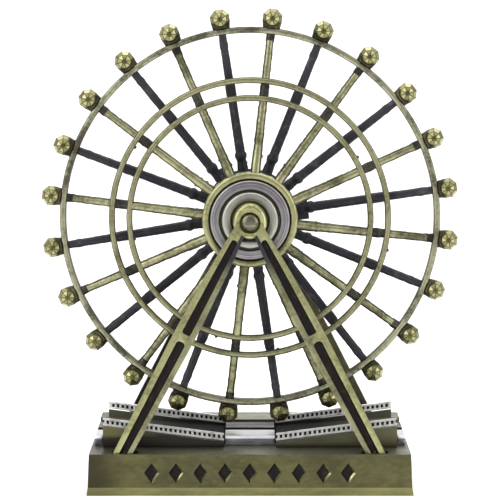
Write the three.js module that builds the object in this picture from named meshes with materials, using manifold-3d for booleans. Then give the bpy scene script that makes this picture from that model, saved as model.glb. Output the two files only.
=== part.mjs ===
// A tabletop ferris wheel model in cast metal: a wheel with 24 capsules turns on a pin between two
// A-frames, which stand on a hollow base with a boarding platform and two sloping ramps.
// Millimetres. X runs along the base, Y from the front to the back and Z up.
// The origin is the middle of the base's underside, and the wheel turns about a line along Y.
import * as THREE from "three";
import { mergeVertices } from "three/addons/utils/BufferGeometryUtils.js";
import { ConvexGeometry } from "three/addons/geometries/ConvexGeometry.js";
import Module from "manifold-3d";

const wasm = await Module();
wasm.setup();

// Clearances
const seatGap = 0.3; // between two pieces that are fixed together
const runningGap = 0.09; // between the axle pin and the turning hub
const overrun = 1; // how far a cutting tool runs past what it cuts
const weldDistance = 1e-4; // vertices closer than this are one

// Wheel rim and the two rings laid over its front spokes
const wheelClearance = 1.25; // between the platform and the lowest capsule
const rimRadius = 50; // to the middle of the section
const rimWidth = 1.7; // radial
const rimDepth = 3.4; // along the axle
const rimChamfer = 0.45;
const ringRadii = [36.8, 32.1];
const ringWidth = 1.5;
const ringDepth = 1.5;
const ringChamfer = 0.35;

// Spokes, which lean from the rim out to the hub's two flanges
const spokePairs = 12; // one bright front spoke and one dark rear spoke each
const firstSpokeTurn = 6.4; // degrees clockwise from the top, seen from the front
const spokeRimWidth = 1.8;
const spokeHubWidth = 2.3;
const spokeDepthShare = 0.8; // of the spoke's width
const spokeSides = 6;
const spokeRimOffset = 0.3; // from the wheel's middle plane
const spokeHubOffset = 5;
const spokeRootRadius = 11.4; // where a spoke starts inside its flange

// Hub: two flanges on a barrel, and a silver disc in the recess of each flange
const flangeRadius = 12.7;
const flangeLipWidth = 2;
const flangeFront = 6.6; // offset of the lip's face from the middle plane
const flangeBack = 3.6;
const flangeRecess = 0.8;
const flangeChamfer = 0.4;
const barrelRadius = 4.6;
const barrelReach = 5.5; // half length
const discRimThickness = 1.2;
const discRingRadius = 7.5; // of the raised middle
const discRingRise = 0.9;
const discChamfer = 0.3;
const discGrooveWidth = 0.6; // of the groove round the raised middle
const discGrooveDepth = 0.3;
const discWellRadius = 4.95; // of the well that the spacer reaches into
const discWellDepth = 0.8;

// Capsules: faceted balls on short feet round the rim
const capsuleRadius = 2.85;
const capsuleStandOff = 2.45; // of a capsule's middle from the rim's outer face
const capsuleSides = 6;
const capsuleFacetShares = [
  // share of the radius across, share of the radius forward, turn as a share of one side
  [0.46, 0.9, 0],
  [0.86, 0.5, 0.5],
  [1, 0, 0],
];
const capsuleFootRadius = 2.2;
const capsuleFootHeight = 1.2;
const capsuleFootSides = 10;

// Axle pin, its rear nut and the two spacers
const pinRadius = 1.7;
const pinHeadRadius = 2.3;
const pinHeadHeight = 1.1;
const pinHeadChamfer = 0.35;
const nutHeight = 1.1;
const spacerRadius = 4.1;

// A-frames, whose legs meet at an apex above the axle. Lengths along a leg are from the apex.
const apexRise = 2; // of the apex above the axle
const legWidths = [
  // length along the leg, width there
  [3, 3.1],
  [16, 4.8],
  [36, 5.9],
  [72, 4.5],
];
const legThickness = 3;
const footEndMargin = 9.3; // from a foot's middle to the end of the base
const footSideMargin = 3; // from a foot's middle to the side of the base
const bossRadius = 4.1;
const bossFront = 14; // offset of the boss's outer face from the middle plane
const bossBack = 11;
const bossChamfer = 0.5;
const bossCounterboreRadius = 2.7;
const bossCounterboreDepth = 1.5;
const channelShare = 0.4; // of the leg's width
const channelDepth = 0.9;
const channelStart = 7.5;
const bridgeDistance = 36.4; // to the middle of the solid bridge
const bridgeLength = 2.2;
const frameWebHalfWidth = 2.2; // web that ties the legs under the boss
const frameWebDrop = 5; // of its lower edge below the axle
const frameWebThickness = 1.6;
const legChamfer = 0.35;
const tenonRadius = 1.5;
const footSink = 0.5; // of the foot into its socket
const socketMargin = 0.45;

// Base
const baseWidth = 84.2; // at the top of the plinth
const baseDepth = 42;
const baseEndFlare = 0.7; // of each end, from the top down to the foot
const baseSideFlare = 0.5;
const plinthTop = 10.9;
const baseChamfer = 0.5;
const baseBandHeight = 2.6; // of the flared band along the foot
const landRise = 3.1; // of the rear land above the plinth
const landInset = 0.8;
const landChamfer = 0.4;
const wall = 2;
const topWall = 2.6;
const padThickness = 1;
const lozengeSpan = 56; // from the first of the sunk lozenges on the front face to the last
const lozengeCount = 9;
const lozengeHeight = 5.2;
const lozengeWidth = 3.6;
const lozengeDepth = 0.5;
const lozengeRow = 6; // height of the row's middle above the base's underside

// Platform plate: a thin web with a raised block in the middle and a raised strip at each end
const plateWeb = 0.4;
const plateSideMargin = 1.3; // from the plate's side to the ramps' walls
const platformHalfWidth = 6.6;
const platformHeight = 2.6;
const platformChamfer = 0.5;
const grooveWidth = 3.2;
const grooveDepth = 1.7;

// Ramps and railings
const rampInner = 6.9;
const rampEndMargin = 3.1; // from a ramp's outer end to the end of the base
const rampSideMargin = 8.8; // from a ramp's wall to the side of the base
const rampWall = 1;
const rampInnerHeight = 1.45;
const rampOuterHeight = 5.6;
const rampInnerFloor = 1.2;
const rampOuterFloor = 3.6;
const railHeight = 2;
const railThickness = 0.8;
const railWeb = 0.3; // thin wall that closes the gaps between the posts
const railTopBar = 0.45;
const railBottomBar = 0.45;
const railPitch = 1.28;
const railPostWidth = 0.5;

// Leg screws
const screwHeadRadius = 1.6;
const screwHeadHeight = 1.2;
const screwRadius = 0.65;
const screwReach = 0.9; // above the foot's underside
const screwSlotWidth = 0.6;
const screwSlotDepth = 0.5;

// Sides of round shapes
const rimSegments = 72;
const ringSegments = 60;
const hubSegments = 36; // also the pin's, so that the flats of pin and bore lie side by side
const footSegments = 12;
const curveSegments = 8;

// Worked out from the sizes above
const baseFootWidth = baseWidth + 2 * baseEndFlare;
const baseFootDepth = baseDepth + 2 * baseSideFlare;
const footSpread = baseWidth / 2 - footEndMargin; // from the middle of the base
const footOffset = baseDepth / 2 - footSideMargin; // from the wheel's middle plane
const rampOuter = baseWidth / 2 - rampEndMargin;
const rampHalfDepth = baseDepth / 2 - rampSideMargin;
const plateHalfDepth = rampHalfDepth - rampWall - seatGap - plateSideMargin;
const landFront = rampHalfDepth + seatGap;
const rimInner = rimRadius - rimWidth / 2;
const rimOuter = rimRadius + rimWidth / 2;
const capsuleCentreRadius = rimOuter + capsuleStandOff;
const wheelRadius = capsuleCentreRadius + capsuleRadius;
const axleHeight = plinthTop + platformHeight + wheelClearance + wheelRadius;
const spokeEndRadius = rimInner - seatGap;
const flangeInner = barrelRadius + seatGap;
const discRadius = flangeRadius - flangeLipWidth - seatGap;
const discBack = flangeFront - flangeRecess + seatGap;
const discFront = discBack + discRimThickness + discRingRise;
const bossMiddle = (bossFront + bossBack) / 2;
const apexHeight = axleHeight + apexRise;
const legDrop = apexHeight - plinthTop;
const lean = Math.atan((footOffset - bossMiddle) / legDrop);
const legRun = Math.hypot(legDrop, footOffset - bossMiddle);
const splay = Math.atan(footSpread / legRun);
const legLength = Math.hypot(legRun, footSpread); // from the apex to the top of the plinth
const landHeight = plinthTop + landRise;
const cavityTop = plinthTop - topWall;
const tenonBottom = cavityTop + seatGap;
const spokePitch = (2 * Math.PI) / spokePairs;
const footX = (level) => (footSpread * (apexHeight - level)) / legDrop;
const footY = (level) => bossMiddle + ((footOffset - bossMiddle) * (apexHeight - level)) / legDrop;
const firstSpoke = THREE.MathUtils.degToRad(firstSpokeTurn);

// Finishes, as colour, roughness and metalness
const finishes = {
  brightBronze: [0xa5a47c, 0.38, 1],
  darkBronze: [0x45453a, 0.55, 1],
  blackened: [0x35353a, 0.6, 1],
  castBronze: [0x6b684b, 0.48, 1],
  silver: [0xb9b9bc, 0.3, 1],
  felt: [0x1d1d1f, 0.95, 0],
};

const model = new THREE.Group();

// One named sub-part, placed by its position and its turn about Z
function addPiece(name, geometry, finish, position = [0, 0, 0], turnAboutZ = 0) {
  const [color, roughness, metalness] = finishes[finish];
  const material = new THREE.MeshStandardMaterial({ color, roughness, metalness });
  const mesh = new THREE.Mesh(geometry, material);
  mesh.name = name;
  mesh.position.set(...position);
  mesh.rotation.z = turnAboutZ;
  model.add(mesh);
  return mesh;
}

// Closed mesh to solid, and back
function solidOf(geometry) {
  const bare = geometry.clone();
  bare.deleteAttribute("normal");
  bare.deleteAttribute("uv");
  const merged = mergeVertices(bare, weldDistance);
  const mesh = new wasm.Mesh({
    numProp: 3,
    vertProperties: new Float32Array(merged.attributes.position.array),
    triVerts: new Uint32Array(merged.index.array),
  });
  return new wasm.Manifold(mesh);
}

function geometryOf(solid) {
  const mesh = solid.getMesh();
  const geometry = new THREE.BufferGeometry();
  geometry.setAttribute("position", new THREE.BufferAttribute(mesh.vertProperties, 3));
  geometry.setIndex(new THREE.BufferAttribute(mesh.triVerts, 1));
  return geometry;
}

function joinAll(parts) {
  return geometryOf(parts.map(solidOf).reduce((whole, part) => whole.add(part)));
}

function cutFrom(body, tools) {
  return geometryOf(tools.map(solidOf).reduce((rest, tool) => rest.subtract(tool), solidOf(body)));
}

function common(a, b) {
  return geometryOf(solidOf(a).intersect(solidOf(b)));
}

// A solid of revolution about Y from [radius, y] points, given in either direction
function turned(points, segments) {
  const profile = points.map(([radius, y]) => new THREE.Vector2(radius, y));
  if (!THREE.ShapeUtils.isClockWise(profile)) profile.reverse();
  profile.push(profile[0].clone());
  profile.reverse();
  return new THREE.LatheGeometry(profile, segments);
}

// The corners of a rectangle with all four corners cut off
function chamferedSection(radiusFrom, radiusTo, yFrom, yTo, chamfer) {
  return [
    [radiusFrom + chamfer, yFrom],
    [radiusTo - chamfer, yFrom],
    [radiusTo, yFrom + chamfer],
    [radiusTo, yTo - chamfer],
    [radiusTo - chamfer, yTo],
    [radiusFrom + chamfer, yTo],
    [radiusFrom, yTo - chamfer],
    [radiusFrom, yFrom + chamfer],
  ];
}

function shapeOf(points) {
  return new THREE.Shape(points.map(([a, b]) => new THREE.Vector2(a, b)));
}

function extruded(shape, depth) {
  return new THREE.ExtrudeGeometry(shape, { depth, bevelEnabled: false, curveSegments });
}

// A shape in X and Z, extruded from one Y to another
function slabAlongY(shape, yFrom, yTo) {
  return extruded(shape, yTo - yFrom).rotateX(Math.PI / 2).translate(0, yTo, 0);
}

// A shape in Y and Z, extruded from one X to another
function slabAlongX(shape, xFrom, xTo) {
  const axes = new THREE.Matrix4().makeBasis(
    new THREE.Vector3(0, 1, 0),
    new THREE.Vector3(0, 0, 1),
    new THREE.Vector3(1, 0, 0),
  );
  return extruded(shape, xTo - xFrom).applyMatrix4(axes).translate(xFrom, 0, 0);
}

function block(xFrom, xTo, yFrom, yTo, zFrom, zTo) {
  return new THREE.BoxGeometry(xTo - xFrom, yTo - yFrom, zTo - zFrom).translate(
    (xFrom + xTo) / 2,
    (yFrom + yTo) / 2,
    (zFrom + zTo) / 2,
  );
}

function rodAlongZ(radius, x, y, zFrom, zTo, segments) {
  return new THREE.CylinderGeometry(radius, radius, zTo - zFrom, segments)
    .rotateX(Math.PI / 2)
    .translate(x, y, (zFrom + zTo) / 2);
}

// Wheel

function rim() {
  const section = chamferedSection(rimInner, rimOuter, -rimDepth / 2, rimDepth / 2, rimChamfer);
  return turned(section, rimSegments);
}

// How far in front of the middle plane the middle of a spoke lies at a radius
function spokeOffset(radius) {
  const share = (rimRadius - radius) / (rimRadius - flangeRadius);
  return spokeRimOffset + share * (spokeHubOffset - spokeRimOffset);
}

function spokeWidthAt(radius) {
  const share = (rimRadius - radius) / (rimRadius - flangeRadius);
  return spokeRimWidth + share * (spokeHubWidth - spokeRimWidth);
}

// One spoke of the front set, at an angle clockwise from the top
function spoke(theta) {
  const start = new THREE.Vector3(0, -spokeOffset(spokeRootRadius), spokeRootRadius);
  const end = new THREE.Vector3(0, -spokeOffset(spokeEndRadius), spokeEndRadius);
  const along = end.clone().sub(start);
  const bar = new THREE.CylinderGeometry(
    spokeWidthAt(spokeEndRadius) / 2,
    spokeWidthAt(spokeRootRadius) / 2,
    along.length(),
    spokeSides,
  );
  bar.scale(1, 1, spokeDepthShare);
  const upright = new THREE.Vector3(0, 1, 0);
  bar.applyQuaternion(new THREE.Quaternion().setFromUnitVectors(upright, along.clone().normalize()));
  bar.translate(0, (start.y + end.y) / 2, (start.z + end.z) / 2);
  return bar.rotateY(theta);
}

// One flange with its spokes; the flange's recess faces the front
function spider(firstAngle) {
  const recessRadius = flangeRadius - flangeLipWidth;
  const flange = turned(
    [
      [flangeInner, -flangeBack],
      [flangeRadius - flangeChamfer, -flangeBack],
      [flangeRadius, -flangeBack - flangeChamfer],
      [flangeRadius, -flangeFront + flangeChamfer],
      [flangeRadius - flangeChamfer, -flangeFront],
      [recessRadius, -flangeFront],
      [recessRadius, -flangeFront + flangeRecess],
      [flangeInner, -flangeFront + flangeRecess],
    ],
    hubSegments,
  );
  const spokes = [];
  for (let i = 0; i < spokePairs; i++) spokes.push(spoke(firstAngle + i * spokePitch));
  return joinAll([flange, ...spokes]);
}

// A ring laid over the front spokes, notched where it crosses each of them
function spokeRing(radius) {
  const back = -spokeOffset(radius);
  const front = back - ringDepth;
  const inner = radius - ringWidth / 2;
  const outer = radius + ringWidth / 2;
  const section = [
    [inner, back],
    [outer, back],
    [outer, front + ringChamfer],
    [outer - ringChamfer, front],
    [inner + ringChamfer, front],
    [inner, front + ringChamfer],
  ];
  const halfWidth = spokeWidthAt(radius) / 2 + seatGap;
  const spokeFace = back - (spokeWidthAt(radius) * spokeDepthShare) / 2 - seatGap;
  const notches = [];
  for (let i = 0; i < spokePairs; i++) {
    const notch = block(
      -halfWidth,
      halfWidth,
      spokeFace,
      back + overrun,
      radius - ringWidth,
      radius + ringWidth,
    );
    notches.push(notch.rotateY(firstSpoke + i * spokePitch));
  }
  return cutFrom(turned(section, ringSegments), notches);
}

function hubBarrel() {
  const bore = pinRadius + runningGap;
  return turned(
    [
      [bore, -barrelReach],
      [barrelRadius, -barrelReach],
      [barrelRadius, barrelReach],
      [bore, barrelReach],
    ],
    hubSegments,
  );
}

// Silver disc with a raised middle and a well; its back stands in the flange's recess
function hubDisc() {
  const bore = pinRadius + runningGap;
  const land = discBack + discRimThickness;
  return turned(
    [
      [bore, -discBack],
      [discRadius, -discBack],
      [discRadius, -land + discChamfer],
      [discRadius - discChamfer, -land],
      [discRingRadius + discGrooveWidth, -land],
      [discRingRadius + discGrooveWidth, -land + discGrooveDepth],
      [discRingRadius, -land + discGrooveDepth],
      [discRingRadius, -discFront + discChamfer],
      [discRingRadius - discChamfer, -discFront],
      [discWellRadius, -discFront],
      [discWellRadius, -discFront + discWellDepth],
      [bore, -discFront + discWellDepth],
    ],
    hubSegments,
  );
}

// A faceted ball whose flat facet faces the front and back, on a foot that stands on the rim
function capsule() {
  const corners = [];
  for (const [across, forward, sideShare] of capsuleFacetShares) {
    for (let i = 0; i < capsuleSides; i++) {
      const angle = ((i + sideShare) * 2 * Math.PI) / capsuleSides;
      const x = across * capsuleRadius * Math.sin(angle);
      const z = across * capsuleRadius * Math.cos(angle);
      corners.push(new THREE.Vector3(x, -forward * capsuleRadius, z));
      corners.push(new THREE.Vector3(x, forward * capsuleRadius, z));
    }
  }
  const ball = new ConvexGeometry(corners);
  const footBottom = rimOuter + seatGap - capsuleCentreRadius;
  const footTop = footBottom + capsuleFootHeight;
  const foot = rodAlongZ(capsuleFootRadius, 0, 0, footBottom, footTop, capsuleFootSides);
  const below = block(
    -capsuleRadius - overrun,
    capsuleRadius + overrun,
    -capsuleRadius - overrun,
    capsuleRadius + overrun,
    -capsuleRadius - overrun,
    footBottom,
  );
  return cutFrom(joinAll([ball, foot]), [below]);
}

function addWheel() {
  const axle = [0, 0, axleHeight];
  addPiece("outer_rim", rim(), "brightBronze", axle);
  addPiece("front_spoke_spider", spider(firstSpoke), "brightBronze", axle);
  // The rear spider is a front one turned half round about Z, which mirrors its angles
  const rearAngle = -(firstSpoke + spokePitch / 2);
  addPiece("rear_spoke_spider", spider(rearAngle), "blackened", axle, Math.PI);
  addPiece("outer_spoke_ring", spokeRing(ringRadii[0]), "brightBronze", axle);
  addPiece("inner_spoke_ring", spokeRing(ringRadii[1]), "brightBronze", axle);
  addPiece("hub_barrel", hubBarrel(), "castBronze", axle);
  addPiece("front_hub_disc", hubDisc(), "silver", axle);
  addPiece("rear_hub_disc", hubDisc(), "silver", axle, Math.PI);
  const count = 2 * spokePairs;
  for (let i = 0; i < count; i++) {
    const angle = firstSpoke + (i * 2 * Math.PI) / count;
    const mesh = addPiece(`capsule_${String(i + 1).padStart(2, "0")}`, capsule(), "brightBronze", [
      capsuleCentreRadius * Math.sin(angle),
      0,
      axleHeight + capsuleCentreRadius * Math.cos(angle),
    ]);
    mesh.rotation.y = angle;
  }
}

// Stand

function legWidthAt(length) {
  const last = legWidths.length - 1;
  const next = legWidths.findIndex(([at], i) => i === last || (i > 0 && length <= at));
  const [from, widthFrom] = legWidths[next - 1];
  const [to, widthTo] = legWidths[next];
  return widthFrom + ((widthTo - widthFrom) * (length - from)) / (to - from);
}

// A bar with rounded ends that sinks a channel in a leg's outer face, from one length to another
function channelTool(from, to) {
  const halfFrom = (legWidthAt(from) * channelShare) / 2;
  const halfTo = (legWidthAt(to) * channelShare) / 2;
  const shape = new THREE.Shape();
  shape.moveTo(halfFrom, -from - halfFrom);
  shape.absarc(0, -from - halfFrom, halfFrom, 0, Math.PI, false);
  shape.lineTo(-halfTo, -to + halfTo);
  shape.absarc(0, -to + halfTo, halfTo, Math.PI, 2 * Math.PI, false);
  return slabAlongY(shape, -legThickness / 2 - overrun, -legThickness / 2 + channelDepth);
}

// The stretch of a leg between two of its lengths, with its outer edges chamfered
function legStretch([from, widthFrom], [to, widthTo]) {
  const face = legThickness / 2;
  const corners = [];
  for (const side of [-1, 1]) {
    for (const [at, width] of [
      [from, widthFrom],
      [to, widthTo],
    ]) {
      corners.push(new THREE.Vector3((side * width) / 2, face, -at));
      corners.push(new THREE.Vector3((side * width) / 2, -face + legChamfer, -at));
      corners.push(new THREE.Vector3(side * (width / 2 - legChamfer), -face, -at));
    }
  }
  return new ConvexGeometry(corners);
}

// One leg, upright below the apex, before it is splayed and leaned
function uprightLeg() {
  const stretches = legWidths.slice(1).map((to, i) => legStretch(legWidths[i], to));
  const end = legWidths[legWidths.length - 1][0];
  const upper = channelTool(channelStart, bridgeDistance - bridgeLength / 2);
  const lower = channelTool(bridgeDistance + bridgeLength / 2, end + overrun * 2);
  return cutFrom(joinAll(stretches), [upper, lower]);
}

function boss() {
  const halfDepth = (bossFront - bossBack) / 2;
  return turned(
    [
      [0, -halfDepth],
      [bossRadius - bossChamfer, -halfDepth],
      [bossRadius, -halfDepth + bossChamfer],
      [bossRadius, halfDepth],
      [0, halfDepth],
    ],
    hubSegments,
  );
}

// The two legs, the boss and the foot tenons, about the middle of the boss
function aFrame(standLevel) {
  const soles = standLevel - footSink - axleHeight;
  const legs = [-1, 1].map((side) =>
    uprightLeg()
      .rotateY(-side * splay)
      .rotateX(-lean)
      .translate(0, 0, apexRise),
  );
  const web = block(
    -frameWebHalfWidth,
    frameWebHalfWidth,
    -frameWebThickness / 2,
    frameWebThickness / 2,
    -frameWebDrop,
    0,
  );
  const reach = baseWidth;
  const depth = baseDepth;
  const below = block(-reach, reach, -depth, depth, -axleHeight - overrun, soles);
  const face = (bossBack - bossFront) / 2;
  const bore = turned(
    [
      [0, face - overrun],
      [bossCounterboreRadius, face - overrun],
      [bossCounterboreRadius, face + bossCounterboreDepth],
      [pinRadius + seatGap, face + bossCounterboreDepth],
      [pinRadius + seatGap, -face + overrun],
      [0, -face + overrun],
    ],
    hubSegments,
  );
  const body = cutFrom(joinAll([...legs, boss(), web]), [below, bore]);
  const bottom = tenonBottom - axleHeight;
  const x = footX(standLevel);
  const y = bossMiddle - footY(standLevel);
  const root = soles + footSink;
  const drill = screwRadius + seatGap;
  const top = soles + screwReach + seatGap;
  const tenons = [x, -x].map((at) => rodAlongZ(tenonRadius, at, y, bottom, root, footSegments));
  const holes = [x, -x].map((at) => rodAlongZ(drill, at, y, bottom - overrun, top, footSegments));
  return cutFrom(joinAll([body, ...tenons]), holes);
}

// The base's outline along X: a flared band at the foot, drafted sides and chamfered top edges
function baseOutline(footHalf, topHalf, top) {
  const bandHalf = topHalf + (footHalf - topHalf) / 2;
  return shapeOf([
    [-footHalf, 0],
    [footHalf, 0],
    [bandHalf, baseBandHeight],
    [topHalf, top - baseChamfer],
    [topHalf - baseChamfer, top],
    [-topHalf + baseChamfer, top],
    [-topHalf, top - baseChamfer],
    [-bandHalf, baseBandHeight],
  ]);
}

// The raised land along the back, with a tongue that reaches forward to the platform
function raisedLand() {
  const half = baseWidth / 2 - landInset;
  const back = baseDepth / 2 - landInset;
  const low = plinthTop - overrun;
  const land = slabAlongX(
    shapeOf([
      [landFront, low],
      [back, low],
      [back, landHeight - landChamfer],
      [back - landChamfer, landHeight],
      [landFront, landHeight],
    ]),
    -half,
    half,
  );
  const tongueFront = plateHalfDepth + seatGap;
  const tongue = block(
    -platformHalfWidth,
    platformHalfWidth,
    tongueFront,
    landFront + overrun,
    low,
    landHeight,
  );
  return [land, tongue];
}

// A row of sunk lozenges across the front face
function lozengeTools() {
  const front = -baseFootDepth / 2;
  const pitch = (lozengeSpan - lozengeWidth) / (lozengeCount - 1);
  const tools = [];
  for (let i = 0; i < lozengeCount; i++) {
    const x = (i - (lozengeCount - 1) / 2) * pitch;
    const shape = shapeOf([
      [x - lozengeWidth / 2, lozengeRow],
      [x, lozengeRow - lozengeHeight / 2],
      [x + lozengeWidth / 2, lozengeRow],
      [x, lozengeRow + lozengeHeight / 2],
    ]);
    tools.push(slabAlongY(shape, front - overrun, -baseDepth / 2 + lozengeDepth));
  }
  return tools;
}

function baseShell() {
  const feet = [
    [footX(plinthTop), -footY(plinthTop), plinthTop],
    [-footX(plinthTop), -footY(plinthTop), plinthTop],
    [footX(landHeight), footY(landHeight), landHeight],
    [-footX(landHeight), footY(landHeight), landHeight],
  ];
  const sides = slabAlongY(
    baseOutline(baseFootWidth / 2, baseWidth / 2, plinthTop),
    -baseFootDepth,
    baseFootDepth,
  );
  const ends = slabAlongX(
    baseOutline(baseFootDepth / 2, baseDepth / 2, plinthTop),
    -baseFootWidth,
    baseFootWidth,
  );
  const outside = joinAll([common(sides, ends), ...raisedLand()]);
  const cavity = block(
    -baseWidth / 2 + wall,
    baseWidth / 2 - wall,
    -baseDepth / 2 + wall,
    baseDepth / 2 - wall,
    -overrun,
    cavityTop,
  );
  const socketHalfWidth = legWidthAt(legLength) / 2 / Math.cos(splay) + socketMargin;
  const socketHalfDepth = legThickness / 2 / Math.cos(lean) + socketMargin;
  const sockets = [];
  for (const [x, y, level] of feet) {
    sockets.push(
      block(
        x - socketHalfWidth,
        x + socketHalfWidth,
        y - socketHalfDepth,
        y + socketHalfDepth,
        level - footSink - seatGap,
        level + overrun,
      ),
    );
    sockets.push(rodAlongZ(tenonRadius + seatGap, x, y, cavityTop - overrun, level, footSegments));
    sockets.push(rodAlongZ(screwHeadRadius + seatGap, x, y, -overrun, cavityTop, footSegments));
  }
  return cutFrom(outside, [cavity, ...sockets, ...lozengeTools()]);
}

// Pad that closes the hollow base, level with the foot of its walls
function feltPad() {
  const halfWidth = baseWidth / 2 - wall - seatGap;
  const halfDepth = baseDepth / 2 - wall - seatGap;
  return block(-halfWidth, halfWidth, -halfDepth, halfDepth, 0, padThickness);
}

// Plate under the ramps, with a groove under the passing capsules
function platformPlate() {
  const half = plateHalfDepth;
  const groove = grooveWidth / 2;
  const end = baseWidth / 2 - landInset;
  const shape = shapeOf([
    [-half, 0],
    [half, 0],
    [half, platformHeight - platformChamfer],
    [half - platformChamfer, platformHeight],
    [groove, platformHeight],
    [groove, platformHeight - grooveDepth],
    [-groove, platformHeight - grooveDepth],
    [-groove, platformHeight],
    [-half + platformChamfer, platformHeight],
    [-half, platformHeight - platformChamfer],
  ]);
  const from = rampInner - seatGap;
  const to = rampOuter + seatGap;
  const depth = plateHalfDepth + overrun;
  const top = platformHeight + overrun;
  return cutFrom(slabAlongX(shape, -end, end), [
    block(from, to, -depth, depth, plateWeb, top),
    block(-to, -from, -depth, depth, plateWeb, top),
  ]);
}

// The right-hand ramp: a tray between two walls that rise towards the end of the base, set over
// the plate's web
function ramp() {
  const body = slabAlongY(
    shapeOf([
      [rampInner, 0],
      [rampOuter, 0],
      [rampOuter, rampOuterHeight],
      [rampInner, rampInnerHeight],
    ]),
    -rampHalfDepth,
    rampHalfDepth,
  );
  const slope = (rampOuterFloor - rampInnerFloor) / (rampOuter - rampInner);
  const tray = slabAlongY(
    shapeOf([
      [rampInner - overrun, rampInnerFloor - slope * overrun],
      [rampOuter + overrun, rampOuterFloor + slope * overrun],
      [rampOuter + overrun, rampOuterHeight + overrun],
      [rampInner - overrun, rampOuterHeight + overrun],
    ]),
    -rampHalfDepth + rampWall,
    rampHalfDepth - rampWall,
  );
  const saddle = block(
    rampInner - overrun,
    rampOuter + overrun,
    -plateHalfDepth - seatGap,
    plateHalfDepth + seatGap,
    -overrun,
    plateWeb + seatGap,
  );
  return cutFrom(body, [tray, saddle]);
}

// A railing of posts between two bars, closed by a thin web, which stands on a ramp's wall
function railing() {
  const slope = (rampOuterHeight - rampInnerHeight) / (rampOuter - rampInner);
  const base = (x) => rampInnerHeight + slope * (x - rampInner);
  const shape = shapeOf([
    [rampInner, base(rampInner)],
    [rampOuter, base(rampOuter)],
    [rampOuter, base(rampOuter) + railHeight],
    [rampInner, base(rampInner) + railHeight],
  ]);
  const gaps = Math.floor((rampOuter - rampInner - railPostWidth) / railPitch);
  const first = (rampInner + rampOuter - gaps * railPitch + railPostWidth) / 2;
  for (let i = 0; i < gaps; i++) {
    const from = first + i * railPitch;
    const to = from + railPitch - railPostWidth;
    const gap = [
      [from, base(from) + railBottomBar],
      [to, base(to) + railBottomBar],
      [to, base(to) + railHeight - railTopBar],
      [from, base(from) + railHeight - railTopBar],
    ];
    shape.holes.push(new THREE.Path(gap.map(([x, z]) => new THREE.Vector2(x, z))));
  }
  const posts = slabAlongY(shape, -railThickness / 2, railThickness / 2);
  const web = shapeOf([
    [rampInner + railPostWidth / 2, base(rampInner + railPostWidth / 2) + railBottomBar / 2],
    [rampOuter - railPostWidth / 2, base(rampOuter - railPostWidth / 2) + railBottomBar / 2],
    [rampOuter - railPostWidth / 2, base(rampOuter - railPostWidth / 2) + railHeight - railTopBar / 2],
    [rampInner + railPostWidth / 2, base(rampInner + railPostWidth / 2) + railHeight - railTopBar / 2],
  ]);
  return joinAll([posts, slabAlongY(web, -railWeb / 2, railWeb / 2)]);
}

// Pin with a flat-topped head in the front boss; its rear end carries the nut
function axlePin() {
  const head = bossFront - bossCounterboreDepth + seatGap;
  return turned(
    [
      [0, -head - pinHeadHeight],
      [pinHeadRadius - pinHeadChamfer, -head - pinHeadHeight],
      [pinHeadRadius, -head - pinHeadHeight + pinHeadChamfer],
      [pinHeadRadius, -head],
      [pinRadius, -head],
      [pinRadius, head - seatGap],
      [0, head - seatGap],
    ],
    hubSegments,
  );
}

// Domed cap nut in the rear boss, clear of the pin's end
function axleNut() {
  const from = bossFront - bossCounterboreDepth + seatGap;
  return turned(
    [
      [0, from],
      [pinHeadRadius, from],
      [pinHeadRadius, from + nutHeight - pinHeadChamfer],
      [pinHeadRadius - pinHeadChamfer, from + nutHeight],
      [0, from + nutHeight],
    ],
    hubSegments,
  );
}

// Bush round the pin, from a boss into the well of the wheel's hub disc
function spacer() {
  const bore = pinRadius + seatGap;
  const end = discFront - discWellDepth + seatGap;
  return turned(
    [
      [bore, -bossBack + seatGap],
      [spacerRadius, -bossBack + seatGap],
      [spacerRadius, -end],
      [bore, -end],
    ],
    hubSegments,
  );
}

// Screw from inside the base up into the tenon of a leg that stands at a level
function legScrew(standLevel) {
  const headTop = cavityTop - seatGap;
  const head = rodAlongZ(screwHeadRadius, 0, 0, headTop - screwHeadHeight, headTop, footSegments);
  const tip = standLevel - footSink + screwReach;
  const shank = rodAlongZ(screwRadius, 0, 0, headTop - screwHeadHeight / 2, tip, footSegments);
  const slot = block(
    -screwHeadRadius - overrun,
    screwHeadRadius + overrun,
    -screwSlotWidth / 2,
    screwSlotWidth / 2,
    headTop - screwHeadHeight - overrun,
    headTop - screwHeadHeight + screwSlotDepth,
  );
  return cutFrom(joinAll([head, shank]), [slot]);
}

function addStand() {
  addPiece("base_shell", baseShell(), "castBronze");
  addPiece("felt_pad", feltPad(), "felt");
  addPiece("platform_plate", platformPlate(), "silver", [0, 0, plinthTop]);
  const frameY = bossMiddle;
  addPiece("front_a_frame", aFrame(plinthTop), "brightBronze", [0, -frameY, axleHeight]);
  addPiece("rear_a_frame", aFrame(landHeight), "brightBronze", [0, frameY, axleHeight], Math.PI);
  const axle = [0, 0, axleHeight];
  addPiece("axle_pin", axlePin(), "castBronze", axle);
  addPiece("axle_nut", axleNut(), "castBronze", axle);
  addPiece("front_spacer", spacer(), "darkBronze", axle);
  addPiece("rear_spacer", spacer(), "darkBronze", axle, Math.PI);
  for (const [side, sideSign, turnAboutZ] of [
    ["right", 1, 0],
    ["left", -1, Math.PI],
  ]) {
    addPiece(`${side}_ramp`, ramp(), "castBronze", [0, 0, plinthTop], turnAboutZ);
    for (const [end, endSign, level] of [
      ["front", -1, plinthTop],
      ["rear", 1, landHeight],
    ]) {
      const place = [0, endSign * (rampHalfDepth - rampWall / 2), plinthTop + seatGap];
      addPiece(`${side}_${end}_railing`, railing(), "silver", place, turnAboutZ);
      const foot = [sideSign * footX(level), endSign * footY(level), 0];
      addPiece(`${side}_${end}_leg_screw`, legScrew(level), "castBronze", foot);
    }
  }
}

addWheel();
addStand();

export default model;
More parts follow.
